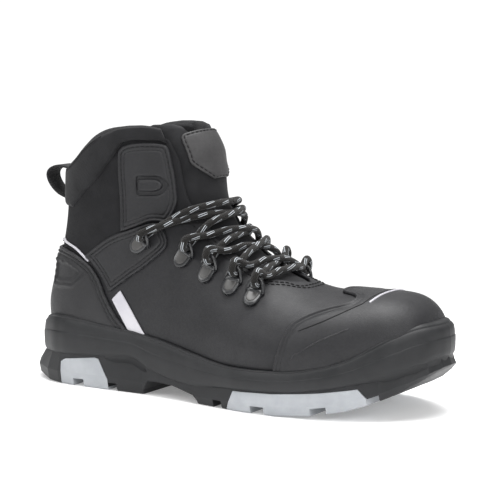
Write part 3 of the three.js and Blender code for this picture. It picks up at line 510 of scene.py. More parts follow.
def clothMaterial(name, look):
    made, tree, shader = startMaterial(name)
    threads = useGroup(tree, weave, Thread=look["thread"])
    dusty = useGroup(tree, dust, Amount=look["dust"])["Mask"]
    colour = mixColour(tree, rangeNode(tree, threads["Tone"], 0.38, 0.62, 0.0, 1.0), look["dark"], look["light"])
    colour = mixColour(tree, dusty, colour, look["dustColour"])
    tree.links.new(colour, shader.inputs["Base Color"])
    tree.links.new(rangeNode(tree, threads["Tone"], 0.3, 0.7, look["roughness"] + 0.05, look["roughness"] - 0.05),
                   shader.inputs["Roughness"])
    bump = addNode(tree, "ShaderNodeBump", {"Strength": look["bump"], "Distance": 0.0004, "Height": threads["Height"]})
    tree.links.new(bump.outputs[0], shader.inputs["Normal"])
    shader.inputs["Sheen Weight"].default_value = look["sheen"]
    shader.inputs["Sheen Roughness"].default_value = 0.5
    shader.inputs["Specular IOR Level"].default_value = 0.3
    return made


def rubberMaterial(name, look):
    made, tree, shader = startMaterial(name)
    place = millimetres(tree)
    tone = noiseNode(tree, place, 0.06, 4.0)
    speck = noiseNode(tree, place, 1.4, 4.0, 0.65)
    dusty = useGroup(tree, dust, Amount=look["dust"])["Mask"]
    colour = mixColour(tree, rangeNode(tree, tone, 0.35, 0.65, 0.0, 1.0), look["dark"], look["light"])
    colour = mixColour(tree, dusty, colour, look["dustColour"])
    tree.links.new(colour, shader.inputs["Base Color"])
    tree.links.new(rangeNode(tree, tone, 0.3, 0.7, look["roughness"] - 0.06, look["roughness"] + 0.06),
                   shader.inputs["Roughness"])
    bump = addNode(tree, "ShaderNodeBump", {"Strength": look["bump"], "Distance": 0.0002, "Height": speck})
    tree.links.new(bump.outputs[0], shader.inputs["Normal"])
    shader.inputs["Specular IOR Level"].default_value = look["specular"]
    return made


leatherLook = {
    "cell": 0.85, "creases": 0.2, "wear": 0.5, "wearWidth": 1.5, "dust": 0.1, "bump": 0.4,
    "dark": (0.0125, 0.0125, 0.014), "light": (0.019, 0.019, 0.021), "worn": (0.045, 0.045, 0.048),
    "dustColour": (0.08, 0.08, 0.081), "roughness": 0.47, "specular": 0.32,
}
fabricLook = {
    "thread": 0.35, "dust": 0.06, "dark": (0.0075, 0.0075, 0.0085), "light": (0.0125, 0.0125, 0.014),
    "dustColour": (0.04, 0.04, 0.041), "roughness": 0.86, "bump": 0.3, "sheen": 0.05,
}
blackRubberLook = {
    "dust": 0.12, "dark": (0.0105, 0.011, 0.0122), "light": (0.016, 0.0165, 0.018),
    "dustColour": (0.08, 0.08, 0.081), "roughness": 0.5, "bump": 0.3, "specular": 0.32,
}
greyRubberLook = {
    "dust": 0.15, "dark": (0.3, 0.315, 0.335), "light": (0.37, 0.385, 0.405),
    "dustColour": (0.42, 0.42, 0.42), "roughness": 0.6, "bump": 0.3, "specular": 0.35,
}
def shellMaterial(name, hide, cloth):
    # leather below, softshell above, parted by the signed distance clothZone
    made, tree, shader = startMaterial(name)
    grain = useGroup(tree, grainGroup, Cell=hide["cell"], Creases=hide["creases"])
    threads = useGroup(tree, weave, Thread=cloth["thread"])
    dusty = useGroup(tree, dust, Amount=hide["dust"])["Mask"]
    zone = addNode(tree, "ShaderNodeAttribute", attribute_name="clothZone").outputs["Fac"]
    isCloth = rangeNode(tree, zone, -0.12, 0.12, 0.0, 1.0)
    seam = rangeNode(tree, mathNode(tree, "ABSOLUTE", zone), 0.15, 0.7, 0.7, 0.0)
    skin = mixColour(tree, rangeNode(tree, grain["Tone"], 0.35, 0.65, 0.0, 1.0), hide["dark"], hide["light"])
    skin = mixColour(tree, dusty, skin, hide["dustColour"])
    knit = mixColour(tree, rangeNode(tree, threads["Tone"], 0.38, 0.62, 0.0, 1.0), cloth["dark"], cloth["light"])
    colour = mixColour(tree, isCloth, skin, knit)
    tree.links.new(mixColour(tree, seam, colour, (0.004, 0.004, 0.004)), shader.inputs["Base Color"])
    gloss = rangeNode(tree, grain["Tone"], 0.3, 0.7, hide["roughness"] + 0.07, hide["roughness"] - 0.07)
    gloss = mathNode(tree, "MAXIMUM", gloss, mathNode(tree, "MULTIPLY", isCloth, cloth["roughness"]))
    tree.links.new(gloss, shader.inputs["Roughness"])
    bare = mathNode(tree, "SUBTRACT", 1.0, isCloth)
    height = mathNode(tree, "ADD", mathNode(tree, "MULTIPLY", grain["Height"], bare),
                      mathNode(tree, "MULTIPLY", threads["Height"], isCloth))
    height = mathNode(tree, "SUBTRACT", height, mathNode(tree, "MULTIPLY", seam, 2.5))
    bump = addNode(tree, "ShaderNodeBump", {"Strength": hide["bump"], "Distance": 0.0003, "Height": height})
    tree.links.new(bump.outputs[0], shader.inputs["Normal"])
    shader.inputs["Specular IOR Level"].default_value = hide["specular"] * 0.85
    return made


leather = leatherMaterial("oiled leather", leatherLook)
upperShell = shellMaterial("leather and softshell", leatherLook, fabricLook)
moulded = leatherMaterial("moulded leather", {**leatherLook, "cell": 0.6, "creases": 0.1, "roughness": 0.5,
                                              "dark": (0.0135, 0.0135, 0.015), "light": (0.019, 0.019, 0.0205)})
patchLeather = leatherMaterial("tongue patch leather", {
    **leatherLook, "cell": 1.1, "creases": 0.1, "dark": (0.032, 0.031, 0.032), "light": (0.045, 0.044, 0.045),
    "roughness": 0.5, "worn": (0.09, 0.09, 0.09)})
softshell = clothMaterial("softshell", fabricLook)
lining = clothMaterial("lining mesh", {**fabricLook, "thread": 0.8, "dark": (0.01, 0.01, 0.0105),
                                       "light": (0.017, 0.017, 0.0175), "bump": 0.6})
webbing = clothMaterial("webbing", {**fabricLook, "thread": 0.9, "bump": 0.9, "light": (0.02, 0.02, 0.021)})
insoleFelt = clothMaterial("insole felt", {**fabricLook, "thread": 1.2, "dark": (0.02, 0.02, 0.0215),
                                           "light": (0.032, 0.032, 0.034)})
blackRubber = rubberMaterial("black rubber", blackRubberLook)
greyRubber = rubberMaterial("grey rubber", greyRubberLook)
composite = rubberMaterial("composite fitting", {**blackRubberLook, "dark": (0.014, 0.0145, 0.016), "roughness": 0.27,
                                                 "light": (0.021, 0.022, 0.024), "specular": 0.6, "bump": 0.1})
plateFace = rubberMaterial("gunmetal face", {**blackRubberLook, "dark": (0.045, 0.044, 0.043), "roughness": 0.36,
                                             "light": (0.062, 0.06, 0.058), "specular": 0.5, "bump": 0.1})
# thread: the real thread is black, and its colour is darkened further as painted shade of the seam grooves and stitch
# holes the stitches sit in
thread = clothMaterial("thread", {**fabricLook, "thread": 0.3, "dark": (0.003, 0.003, 0.0035), "roughness": 0.7,
                                  "light": (0.007, 0.007, 0.008), "bump": 0.3})
reflectiveFilm = rubberMaterial("reflective film", {
    **greyRubberLook, "dark": (0.46, 0.45, 0.49), "light": (0.54, 0.53, 0.56), "roughness": 0.38, "specular": 0.5})
print("materials made:", len(bpy.data.materials))


# Upper: one leather shell with a lining, open at the collar and the throat
upperLook = {
    "rings": 150, "columns": 150, "linedEdge": 1.2, "cuffRoll": 4,
    "throat": [(6.55, 0.03), (7.2, 0.062), (9, 0.078), (11, 0.093), (13, 0.105), (15, 0.115), (17, 0.125), (20, 0.135)],
    "collar": [(-0.05, 1.4), (0.08, 1.41), (0.13, 1.47), (0.165, 1.59), (0.19, 1.72), (0.22, 1.86), (0.25, 1.945),
               (0.29, 1.99), (0.34, 2.01), (0.37, 1.98), (0.4, 1.91), (0.42, 1.78), (0.437, 1.61), (0.455, 1.3)],
    "cloth": [(-0.4, 0.62), (0.16, 0.63), (0.21, 0.585), (0.256, 0.74), (0.314, 0.815), (0.362, 0.868), (0.39, 0.868),
              (0.42, 0.895), (0.455, 0.905), (0.52, 0.93), (0.7, 2.6), (-0.4, 2.6)],
}


def throatHalf(row):
    opened = np.clip((np.asarray(row, float) - 6.4) / 0.3, 0, 1)
    return curveAt(upperLook["throat"], row) * opened * opened * (3 - 2 * opened)


def collarZ(x):
    return upZ(curveAt(upperLook["collar"], np.clip(shareAt(x), -0.05, 0.455)))


def topRow(turns, lift):
    # the row of the last at which a line up the shaft meets the collar
    rows = np.linspace(9, lastEnd, 700)
    points = lastPoints(rows[:, None], turns[None, :])
    above = points[..., 2] > collarZ(points[..., 0]) + lift
    return rows[np.argmax(above, axis=0)]


def makeUpper():
    rings, columns = upperLook["rings"], upperLook["columns"]
    u = np.linspace(0, 1, columns)
    top = topRow(0.5 + 0.12 + u * 0.76, -upperLook["cuffRoll"])
    v = np.linspace(0, 1, rings)[:, None]
    row = v * top[None, :]
    half = throatHalf(row)
    turn = 0.5 + half + u[None, :] * (1 - 2 * half)
    outer = formPoints(row, turn, np.zeros_like(row))
    inner = formPoints(row, turn, np.full_like(row, -boot["wall"]))
    n = rings * columns
    faces = gridFaces(rings, columns)
    lined = [tuple(i + n for i in reversed(f)) for f in faces]
    edge = []
    for r in range(rings - 1):
        if half[r, 0] > 0 or half[r + 1, 0] > 0:
            a, b = r * columns, (r + 1) * columns
            edge += [(b, a, a + n, b + n), (a + columns - 1, b + columns - 1, b + columns - 1 + n, a + columns - 1 + n)]
    a = (rings - 1) * columns
    edge += [(a + c + 1, a + c, a + c + n, a + c + 1 + n) for c in range(columns - 1)]
    caps = [tuple(reversed(range(columns))), tuple(range(n, n + columns))]
    allFaces = faces + caps[:1] + edge + lined + caps[1:]
    kinds = [0] * (len(faces) + 1 + len(edge)) + [1] * (len(lined) + 1)
    piece = makeMesh("upper_shell", np.vstack([outer.reshape(-1, 3), inner.reshape(-1, 3)]), allFaces,
                     [upperShell, lining], kinds)
    bm = bmesh.new()
    bm.from_mesh(piece.data)
    bmesh.ops.remove_doubles(bm, verts=bm.verts, dist=2e-6)
    bmesh.ops.recalc_face_normals(bm, faces=bm.faces)
    bm.to_mesh(piece.data)
    bm.free()
    zone = [(float(alongX(a)), float(upZ(b))) for a, b in upperLook["cloth"]]
    side = np.array([(v.co.x * 1000, v.co.z * 1000) for v in piece.data.vertices])
    setPointValues(piece, "clothZone", signedDistance(np.array(zone), side))
    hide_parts("upper")
    return piece


upper = makeUpper()
print("upper made:", len(upper.data.vertices))


# Stitching: short rounded threads laid end to end along a seam
stitchLook = {"length": 2.7, "gap": 0.75, "thick": 0.42, "lift": 0.12, "sides": 6}


def stitchMesh(name, runs, material, look=stitchLook):
    points, faces = [], []
    profile = [(-0.5, 0.25, -0.35), (-0.4, 0.8, 0.0), (0, 1, 0.25), (0.4, 0.8, 0.0), (0.5, 0.25, -0.35)]
    angles = np.arange(look["sides"]) / look["sides"] * 2 * np.pi
    for line, normals in runs:
        run = np.r_[0, np.cumsum(np.linalg.norm(np.diff(line, axis=0), axis=1))]
        for start in np.arange(0, run[-1] - look["length"], look["length"] + look["gap"]):
            middle = start + look["length"] / 2
            at = np.array([np.interp(middle, run, line[:, k]) for k in range(3)])
            ahead = np.array([np.interp(middle + 0.8, run, line[:, k]) for k in range(3)]) - at
            ahead /= max(np.linalg.norm(ahead), 1e-9)
            out = np.array([np.interp(middle, run, normals[:, k]) for k in range(3)])
            out -= ahead * (out @ ahead)
            out /= max(np.linalg.norm(out), 1e-9)
            beside = np.cross(ahead, out)
            first = len(points)
            for along, thick, lift in profile:
                centre = at + ahead * along * look["length"] + out * (look["lift"] + lift * look["thick"])
                for angle in angles:
                    points.append(centre + (out * np.cos(angle) + beside * np.sin(angle)) * look["thick"] * thick)
            faces += gridFaces(len(profile), look["sides"], closed=True, start=first)
            faces.append(tuple(first + i for i in reversed(range(look["sides"]))))
            faces.append(tuple(first + (len(profile) - 1) * look["sides"] + i for i in range(look["sides"])))
    return makeMesh(name, points, faces, material)


def seamOn(row, turn, height, keep=None):
    # one run of a seam on the last, with its normals; only the stretches to keep
    line = formPoints(row, turn, np.full(len(row), float(height)))
    normals = formNormals(row, turn)
    if keep is None:
        return [(line, normals)]
    shown = keep(line)
    runs, start = [], None
    for i, show in enumerate(list(shown) + [False]):
        if show and start is None:
            start = i
        if not show and start is not None:
            if i - start > 3:
                runs.append((line[start:i], normals[start:i]))
            start = None
    return runs


# the sole's outline and heights, as in the model
soleLook = {
    "plan": [(0, 0, 0), (0.0095, 0.116, 0.116), (0.035, 0.223, 0.223), (0.082, 0.308, 0.308), (0.12, 0.34, 0.339),
             (0.161, 0.357, 0.355),
             (0.256, 0.366, 0.35), (0.351, 0.371, 0.325), (0.446, 0.411, 0.328), (0.541, 0.464, 0.384),
             (0.62, 0.506, 0.437), (0.699, 0.513, 0.471), (0.778, 0.488, 0.471), (0.848, 0.433, 0.438),
             (0.905, 0.362, 0.37), (0.949, 0.268, 0.28), (0.981, 0.161, 0.185), (0.996, 0.054, 0.1),
             (1, -0.02, 0.02)],
    "heights": [(0, 0.17, 0.69, 1.45), (0.066, 0.03, 0.72, 1.61), (0.12, 0, 0.74, 1.64), (0.177, 0, 0.76, 1.61),
                (0.244, 0, 0.79, 1.535), (0.326, 0, 0.82, 1.43), (0.367, 0, 0.6, 1.36), (0.427, 0, 0.46, 1.25),
                (0.494, 0, 0.4, 1.1), (0.554, 0, 0.46, 0.99), (0.608, 0, 0.5, 0.962), (0.69, 0, 0.535, 0.983),
                (0.734, 0.03, 0.575, 1.03), (0.797, 0.105, 0.67, 1.162), (0.845, 0.22, 0.775, 1.34),
                (0.889, 0.365, 0.9, 1.6), (0.94, 0.6, 1.08, 1.9), (0.973, 0.81, 1.22, 2.055), (1, 1.02, 1.34, 2.09)],
    "rimInset": 3.4, "wallTuck": (9.5, 2), "rimTuck": (11, 5), "heelShare": 0.2, "toeShare": 0.17, "steps": 12,
    "skirt": [(0, 0), (0.24, 0), (0.28, 1), (0.35, 1), (0.38, 0), (0.88, 0), (0.93, 0.8), (1, 0.8)],
    "profile": [(0, -0.5), (0.03, 0.2), (0.08, 0.6), (0.2, 0.95), (0.4, 1.05), (0.53, 0.95), (0.55, 0.85),
                (0.565, 0.55), (0.58, 0.5), (0.62, 0.5), (0.72, 0.25), (0.82, -0.2), (0.88, -0.6), (0.905, -1.0),
                (0.92, -1.25), (0.935, -1.15), (0.955, -1.1), (0.975, -1.5), (0.99, -2.2), (1, -3.2)],
}
planTable = np.array(soleLook["plan"], float)
heightTable = np.array(soleLook["heights"], float)


def soleHeight(column, x):
    at = np.interp(shareAt(x), heightTable[:, 0], np.arange(len(heightTable)))
    return boot["footbedHeight"] * np.maximum(tableAt(heightTable, at)[..., column], 0)


def rimHeight(x):
    return soleHeight(3, x)


def planLoop():
    t = np.linspace(0, len(planTable) - 1, (len(planTable) - 1) * soleLook["steps"] + 1)
    side = tableAt(planTable, t)
    outer = np.stack([alongX(side[:, 0]), -side[:, 1] * boot["ballWidth"]], -1)[:-1]
    inner = np.stack([alongX(side[:, 0]), side[:, 2] * boot["ballWidth"]], -1)[:0:-1]
    return np.vstack([outer, inner])


soleLoop = planLoop()


def planRing(offset, heights, heelTuck, toeTuck):
    ahead = np.roll(soleLoop, -1, 0) - np.roll(soleLoop, 1, 0)
    ahead /= np.linalg.norm(ahead, axis=1, keepdims=True)
    share = shareAt(soleLoop[:, 0])
    nearHeel = np.clip(1 - share / soleLook["heelShare"], 0, 1)
    nearHeel = nearHeel * nearHeel * (3 - 2 * nearHeel)
    nearToe = np.clip(1 - (1 - share) / soleLook["toeShare"], 0, 1)
    nearToe = nearToe * nearToe * (3 - 2 * nearToe)
    x = soleLoop[:, 0] + ahead[:, 1] * offset + nearHeel * heelTuck - nearToe * toeTuck
    return np.stack([x, soleLoop[:, 1] - ahead[:, 0] * offset, heights], -1)


def onForm(points, offset):
    # points moved level, towards the middle of the foot, until they lie on the last
    moved = points.copy()
    rows = np.linspace(0, lastEnd, 161)
    turns = np.linspace(0, 1, 161)[:-1]
    form = formPoints(rows[:, None], turns[None, :], np.full((161, 160), float(offset)))
    flat = form.reshape(-1, 3)
    tree = BVHTree.FromPolygons([tuple(p) for p in flat], gridFaces(161, 160, closed=True))
    for i, p in enumerate(points):
        inward = Vector((np.clip(p[0], -5, 205) - p[0], -p[1] * 0.9, 0))
        hit = tree.ray_cast(Vector(p), inward.normalized(), 40)
        if hit[0] is not None:
            moved[i] = hit[0]
        else:
            moved[i] = Vector(p) + inward.normalized() * 4
    return moved


def makeMidsole():
    x = soleLoop[:, 0]
    split, rim = soleHeight(2, x), soleHeight(3, x)
    rings = []
    for share, out in soleLook["profile"]:
        blend = np.clip((share - 0.84) / 0.16, 0, 1)
        heel, toe = (a * (1 - blend) + b * blend for a, b in zip(soleLook["wallTuck"], soleLook["rimTuck"]))
        rings.append(planRing(out, split * (1 - share) + rim * share, heel, toe))
    skirt = np.interp(shareAt(x), *zip(*soleLook["skirt"]))
    rings.insert(0, planRing(-1.0 + 1.9 * skirt, split - 1 - 3 * skirt, *soleLook["wallTuck"]))
    lip = rings[-1].copy()
    lip[:, 2] -= 0.7
    seat = onForm(lip, -0.5)
    rings.append((rings[-1] * 0.5 + seat * 0.5) + (0, 0, 0.1))
    rings.append(seat)
    deep = seat.copy()
    deep[:, 2] -= 2.5
    rings.append(deep)
    back = planRing(-4.6, rings[-1][:, 2] - 1, *soleLook["rimTuck"])
    rings.append(back)
    rings.append(planRing(-3.2, split + 1.2, *soleLook["wallTuck"]))
    count = len(soleLoop)
    faces = gridFaces(len(rings), count, closed=True)
    faces += [tuple(reversed(range(count))), tuple(range((len(rings) - 1) * count, len(rings) * count))]
    piece = makeMesh("midsole_wall", np.vstack(rings), faces, blackRubber)
    outwards(piece)
    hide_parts("midsole")


makeMidsole()
print("midsole made")


def softEdges(name, width, material):
    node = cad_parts[name]
    node.data.materials.clear()
    node.data.materials.append(material)
    bevel = node.modifiers.new("rounded edges", "BEVEL")
    bevel.width = width * 0.001
    bevel.segments = 2
    bevel.limit_method = "ANGLE"
    bevel.angle_limit = math.radians(32)
    bevel.harden_normals = False


softEdges("outsole", 0.5, blackRubber)
softEdges("heel_insert", 0.5, greyRubber)
softEdges("forefoot_insert", 0.5, greyRubber)


# leather pieces sewn on the upper, as side-view outlines: shares along and up, 1 marks a corner
sidePieces = {
    "ankle_band": {
        "outline": [(0.194, 0.63, 1), (0.256, 0.773), (0.314, 0.848), (0.362, 0.9), (0.38, 0.885), (0.391, 0.833),
                    (0.397, 0.737), (0.354, 0.605), (0.31, 0.504), (0.262, 0.393, 1), (0.241, 0.5), (0.213, 0.597)],
        "lay": {"base": 0.3, "edge": 0.5, "thickness": 1.6, "roll": 0.9, "seams": (2.4, 4.7), "sunk": 0.7, "welt": 0.45},
    },
    "ankle_patch": {
        "outline": [(0.289, 1.72), (0.283, 1.565), (0.285, 1.144), (0.288, 0.822, 1), (0.333, 0.876), (0.362, 0.909),
                    (0.394, 0.9, 1), (0.406, 0.97), (0.412, 1.08), (0.41, 1.231), (0.394, 1.7), (0.375, 1.79),
                    (0.322, 1.79)],
        "lay": {"base": 0.3, "edge": 0.5, "thickness": 1.6, "roll": 0.9, "seams": (2.4, 4.7), "sunk": 0.7,
                "welt": 0.45, "crown": 0.8},
    },
}
patchSlot = {
    "slot": [(0.326, 1.395, 1), (0.345, 1.398), (0.378, 1.388), (0.394, 1.28), (0.378, 1.17), (0.345, 1.155),
             (0.326, 1.152, 1)],
    "tab": [(0.33, 1.35, 1), (0.35, 1.357), (0.372, 1.346), (0.383, 1.285), (0.372, 1.222), (0.35, 1.212),
            (0.33, 1.215, 1)],
    "slotDepth": 1.3, "tabHeight": 2.2,
}
wholeCounter = {
    "outline": [(0.142, 0.655), (0.203, 0.585), (0.232, 0.49), (0.249, 0.38), (0.275, 0.24), (0.306, 0.128),
                (0.316, 0.04)],
    "backUp": 0.66, "axis": 20, "radius": 42,
    "relief": [(0.1, 0.6, 1), (0.15, 0.605, 1), (0.208, 0.545, 1), (0.2, 0.5, 1), (0.165, 0.41, 1), (0.1, 0.395, 1)],
    "ridge": 1.2, "ribs": (88.8, 85.9, 83), "ribHalfWidth": 29,
    "lay": {"base": 0.3, "edge": 0.6, "thickness": 2.1, "roll": 1.0, "seams": (2.5, 4.9), "sunk": 0.7, "welt": 0.4},
}
stripeShape = {
    "outline": [(0.267, 0.343, 1), (0.289, 0.413, 1), (0.365, 0.05, 1), (0.324, 0.05, 1)],
    "lay": {"base": 0.3, "edge": 0.3, "thickness": 0.9, "roll": 0.6, "seams": (), "sunk": 0},
}


def sideOutline(points, step=1.3, soften=2):
    rows = [(float(alongX(p[0])), float(upZ(p[1])), *p[2:]) for p in points]
    return loopWithCorners(rows, step, soften)


def sideForm(sign):
    def toForm(points):
        row, turn = sideToForm(points)
        return row, (turn if sign < 0 else 1 - turn)
    return toForm


def aboveRim(line):
    return line[:, 2] > rimHeight(line[:, 0]) + 0.8


def doubleStitch(name, loop, toForm, height, distances, keep=aboveRim, closed=True):
    dense = treeOf(np.vstack([loop, (loop + np.roll(loop, -1, 0)) / 2]))
    runs = []
    for d in distances:
        inset = inwardLoop(loop, d, dense)
        inset = np.vstack([inset, inset[:1]]) if closed else inset
        row, turn = toForm(inset)
        runs += seamOn(row, turn, height, keep)
    piece = stitchMesh(name, runs, thread)
    return piece


def slotShape(surface, edge, flat):
    slot, tab = (signedDistance(sideOutline(patchSlot[k], 0.8, 6), flat) for k in ("slot", "tab"))
    return stepUp(tab) * patchSlot["tabHeight"] - stepUp(slot) * patchSlot["slotDepth"]


sides = (("outer", -1), ("inner", 1))
for label, sign in sides:
    for name, spec in sidePieces.items():
        loop = sideOutline(spec["outline"])
        details = [sideOutline(patchSlot[k], 0.8, 6) for k in ("slot", "tab")] if name == "ankle_patch" else ()
        piece = layPatch(f"{name}_{label}_leather", loop, sideForm(sign), spec["lay"], leather,
                         shape=slotShape if details else None, details=details)
        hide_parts(f"{name}_{label}")
        lay = spec["lay"]
        doubleStitch(f"{name}_{label}_stitching", loop, sideForm(sign), lay["thickness"] - lay["sunk"] + lay.get("crown", 0) * 0.3,
                     lay["seams"])
    piece = layPatch(f"stripe_{label}_film", sideOutline(stripeShape["outline"], 1.0, 1), sideForm(sign),
                     stripeShape["lay"], reflectiveFilm, rings=patchRings[:4])
    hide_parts(f"stripe_{label}")
print("side pieces made")


def roundHeel(points):
    # heel and shaft unrolled about an upright axis
    axis = wholeCounter["axis"]
    return np.stack([np.arctan2(points[..., 1], axis - points[..., 0]) * wholeCounter["radius"], points[..., 2]], -1)


def inverseOf(project, rows, turns):
    table = project(lastPoints(rows[:, None], turns[None, :])).reshape(-1, 2)
    tree = treeOf(table)

    def toForm(points):
        points = np.asarray(points, float)
        found = np.array([tree.find((a, b, 0))[1] for a, b in points])
        row, turn = rows[found // len(turns)], turns[found % len(turns)]
        for _ in range(4):
            here = project(lastPoints(row, turn))
            byRow = (project(lastPoints(row + 0.01, turn)) - here) / 0.01
            byTurn = (project(lastPoints(row, turn + 0.001)) - here) / 0.001
            miss = points - here
            size = byRow[:, 0] * byTurn[:, 1] - byRow[:, 1] * byTurn[:, 0]
            size = np.where(np.abs(size) < 50, np.inf, size)
            row = row + np.clip((miss[:, 0] * byTurn[:, 1] - miss[:, 1] * byTurn[:, 0]) / size, -0.3, 0.3)
            turn = turn + np.clip((byRow[:, 0] * miss[:, 1] - byRow[:, 1] * miss[:, 0]) / size, -0.02, 0.02)
        return np.clip(row, 0, lastEnd), turn
    return toForm


heelForm = inverseOf(roundHeel, np.linspace(10, lastEnd, 251), np.linspace(-0.42, 0.42, 281))


def makeCounter():
    side = np.array([(float(alongX(a)), float(upZ(b))) for a, b in wholeCounter["outline"]])
    row, turn = sideToForm(side)
    outer = roundHeel(lastPoints(row, turn))
    inner = roundHeel(lastPoints(row, 1 - turn))
    back = [(-12.0, float(upZ(wholeCounter["backUp"]))), (12.0, float(upZ(wholeCounter["backUp"])))]
    outline = [tuple(p) for p in outer[::-1]] + back + [tuple(p) for p in inner]
    outline[0] = (*outline[0], 1)
    outline[-1] = (*outline[-1], 1)
    loop = loopWithCorners(outline, 1.3)
    lay = wholeCounter["lay"]
    side = sideOutline(wholeCounter["relief"], 1.0, 5)
    row, turn = sideToForm(side)
    relief = [roundHeel(lastPoints(row, t)) for t in (turn, 1 - turn)]

    def shape(surface, edge, flat):
        raised, ribs = 0, 0
        for figure in relief:
            inside = signedDistance(figure, flat)
            for at in (0, 3.2):
                raised = raised + wholeCounter["ridge"] * np.exp(-((inside - at) / 0.85) ** 2)
        for height in wholeCounter["ribs"]:
            near = np.clip((wholeCounter["ribHalfWidth"] - np.abs(flat[:, 0])) / 3, 0, 1)
            ribs = ribs + 1.1 * np.exp(-((flat[:, 1] - height) / 0.8) ** 2) * near
        return raised * np.clip((edge - 6) / 1.5, 0, 1) + ribs * np.clip(edge - 1.2, 0, 1)
    piece = layPatch("heel_counter_cap", loop, heelForm, lay, moulded, shape=shape, cell=1.2)
    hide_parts("heel_counter")
    doubleStitch("heel_counter_stitching", loop, heelForm, lay["thickness"] - lay["sunk"], lay["seams"])


makeCounter()
print("heel counter made")


# Toe cap: ruled from its edge to the tip
toeLook = {
    "side": [(0.69, -0.06), (0.691, 0.02), (0.698, 0.104), (0.706, 0.198), (0.715, 0.285), (0.737, 0.345),
             (0.78, 0.402), (0.808, 0.424)],
    "lobe": [(0.817, -0.18), (0.809, -0.12), (0.79, -0.078), (0.769, -0.06), (0.76, -0.02)],
    "lobeMiddle": 0.036,
    "lay": {"base": 0.3, "edge": 0.55, "thickness": 1.7, "roll": 1.0, "seams": (2.4, 4.8), "sunk": 0.7, "welt": 0.45},
    "rings": patchRings + [9, 11.5, 14.5],
}


def plan(points):
    return points[..., :2]


toeTopForm = inverseOf(plan, np.linspace(0, 8, 161), np.linspace(0.3, 0.7, 121))


def toeEdge():
    side = np.array([(float(alongX(a)), float(upZ(b))) for a, b in toeLook["side"]])
    row, turn = sideToForm(side)
    lobe = np.array([(float(alongX(a)), b * boot["ballWidth"]) for a, b in toeLook["lobe"]])
    mirrored = np.array([(float(alongX(a)), (2 * toeLook["lobeMiddle"] - b) * boot["ballWidth"])
                         for a, b in toeLook["lobe"][::-1]])
    lobeRow, lobeTurn = toeTopForm(lobe)
    backRow, backTurn = toeTopForm(mirrored)
    scale = np.array([14.0, 260.0])
    edge = np.vstack([
        np.stack([row, turn], -1), np.stack([lobeRow, lobeTurn], -1),
        np.stack([backRow, backTurn], -1), np.stack([row, 1 - turn], -1)[::-1]]) * scale
    edge = sampleCurve(edge, 1.2)
    for _ in range(4):
        edge[1:-1] = (edge[:-2] + 2 * edge[1:-1] + edge[2:]) / 4
    return edge / scale


def ruledPatch(name, edge, target, lay, material, ringsFrom, inner=34, shape=None):
    scale = np.array([14.0, 260.0])
    away = (target - edge) * scale
    reach = np.linalg.norm(away, axis=1, keepdims=True)
    steps = [np.zeros_like(reach)] + [np.minimum(d / reach, 0.9) for d in ringsFrom]
    last = steps[-1]
    steps += [last + (1 - last) * k for k in np.linspace(0, 1, inner + 1)[1:]]
    row = np.stack([edge[:, 0] + (target[:, 0] - edge[:, 0]) * s[:, 0] for s in steps])
    turn = np.stack([edge[:, 1] + (target[:, 1] - edge[:, 1]) * s[:, 0] ** 1.3 for s in steps])
    surface = lastPoints(row, turn)
    fine = sampleCurve(lastPoints(edge[:, 0], edge[:, 1]), 0.4)
    distance = nearest(treeOf(fine), surface.reshape(-1, 3)).reshape(row.shape)
    distance[0] = 0
    roll = np.clip(distance / lay["roll"], 0, 1)
    height = lay["base"] + lay["edge"] + (lay["thickness"] - lay["edge"]) * np.sqrt(1 - (1 - roll) ** 2)
    for seam in lay["seams"]:
        height = height - lay["sunk"] * np.exp(-((distance - seam) / 0.6) ** 2)
    height = height + lay.get("welt", 0) * np.exp(-((distance - 1.1) / 0.6) ** 2)
    if shape:
        height = height + shape(surface, distance)
    top = formPoints(row, turn, height)
    bottom = formPoints(row, turn, np.full_like(height, lay["base"]))
    rings, columns = row.shape
    n = rings * columns
    faces = gridFaces(rings, columns)
    under = [tuple(i + n for i in reversed(f)) for f in faces]
    border = [(c, c + 1, c + 1 + n, c + n) for c in range(columns - 1)]
    far = (rings - 1) * columns
    border += [(far + c, far + c + 1, far + c + 1 + n, far + c + n) for c in range(columns - 1)]
    for r in range(rings - 1):
        a, b = r * columns, (r + 1) * columns
        border += [(a, b, b + n, a + n), (a + columns - 1, b + columns - 1, b + columns - 1 + n, a + columns - 1 + n)]
    piece = makeMesh(name, np.vstack([top.reshape(-1, 3), bottom.reshape(-1, 3)]), faces + under + border, material)
    outwards(piece)
    setPointValues(piece, "edgeDistance", np.r_[distance.ravel(), distance.ravel()])
    return piece


def seamInside(edge, target, distance, height, keep=aboveRim):
    # a line of stitches at a distance from a ruled piece's edge
    scale = np.array([14.0, 260.0])
    flat = edge * scale
    ahead = np.gradient(flat, axis=0)
    ahead /= np.linalg.norm(ahead, axis=1, keepdims=True)
    side = np.stack([-ahead[:, 1], ahead[:, 0]], -1)
    side *= np.sign(np.sum(side * (target * scale - flat), axis=1, keepdims=True))
    moved = sampleCurve((flat + side * distance)[::4], 0.8) / scale
    return seamOn(moved[:, 0], moved[:, 1], height, keep)


def makeToeCap():
    edge = toeEdge()
    target = np.stack([np.zeros(len(edge)), np.linspace(edge[0, 1], edge[-1, 1], len(edge))], -1)
    lay = toeLook["lay"]
    piece = ruledPatch("toe_cap_leather", edge, target, lay, leather, toeLook["rings"])
    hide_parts("toe_cap")
    runs = []
    for seam in lay["seams"]:
        runs += seamInside(edge, target, seam, lay["thickness"] - lay["sunk"])
    stitchMesh("toe_cap_stitching", runs, thread)


makeToeCap()
print("toe cap made")


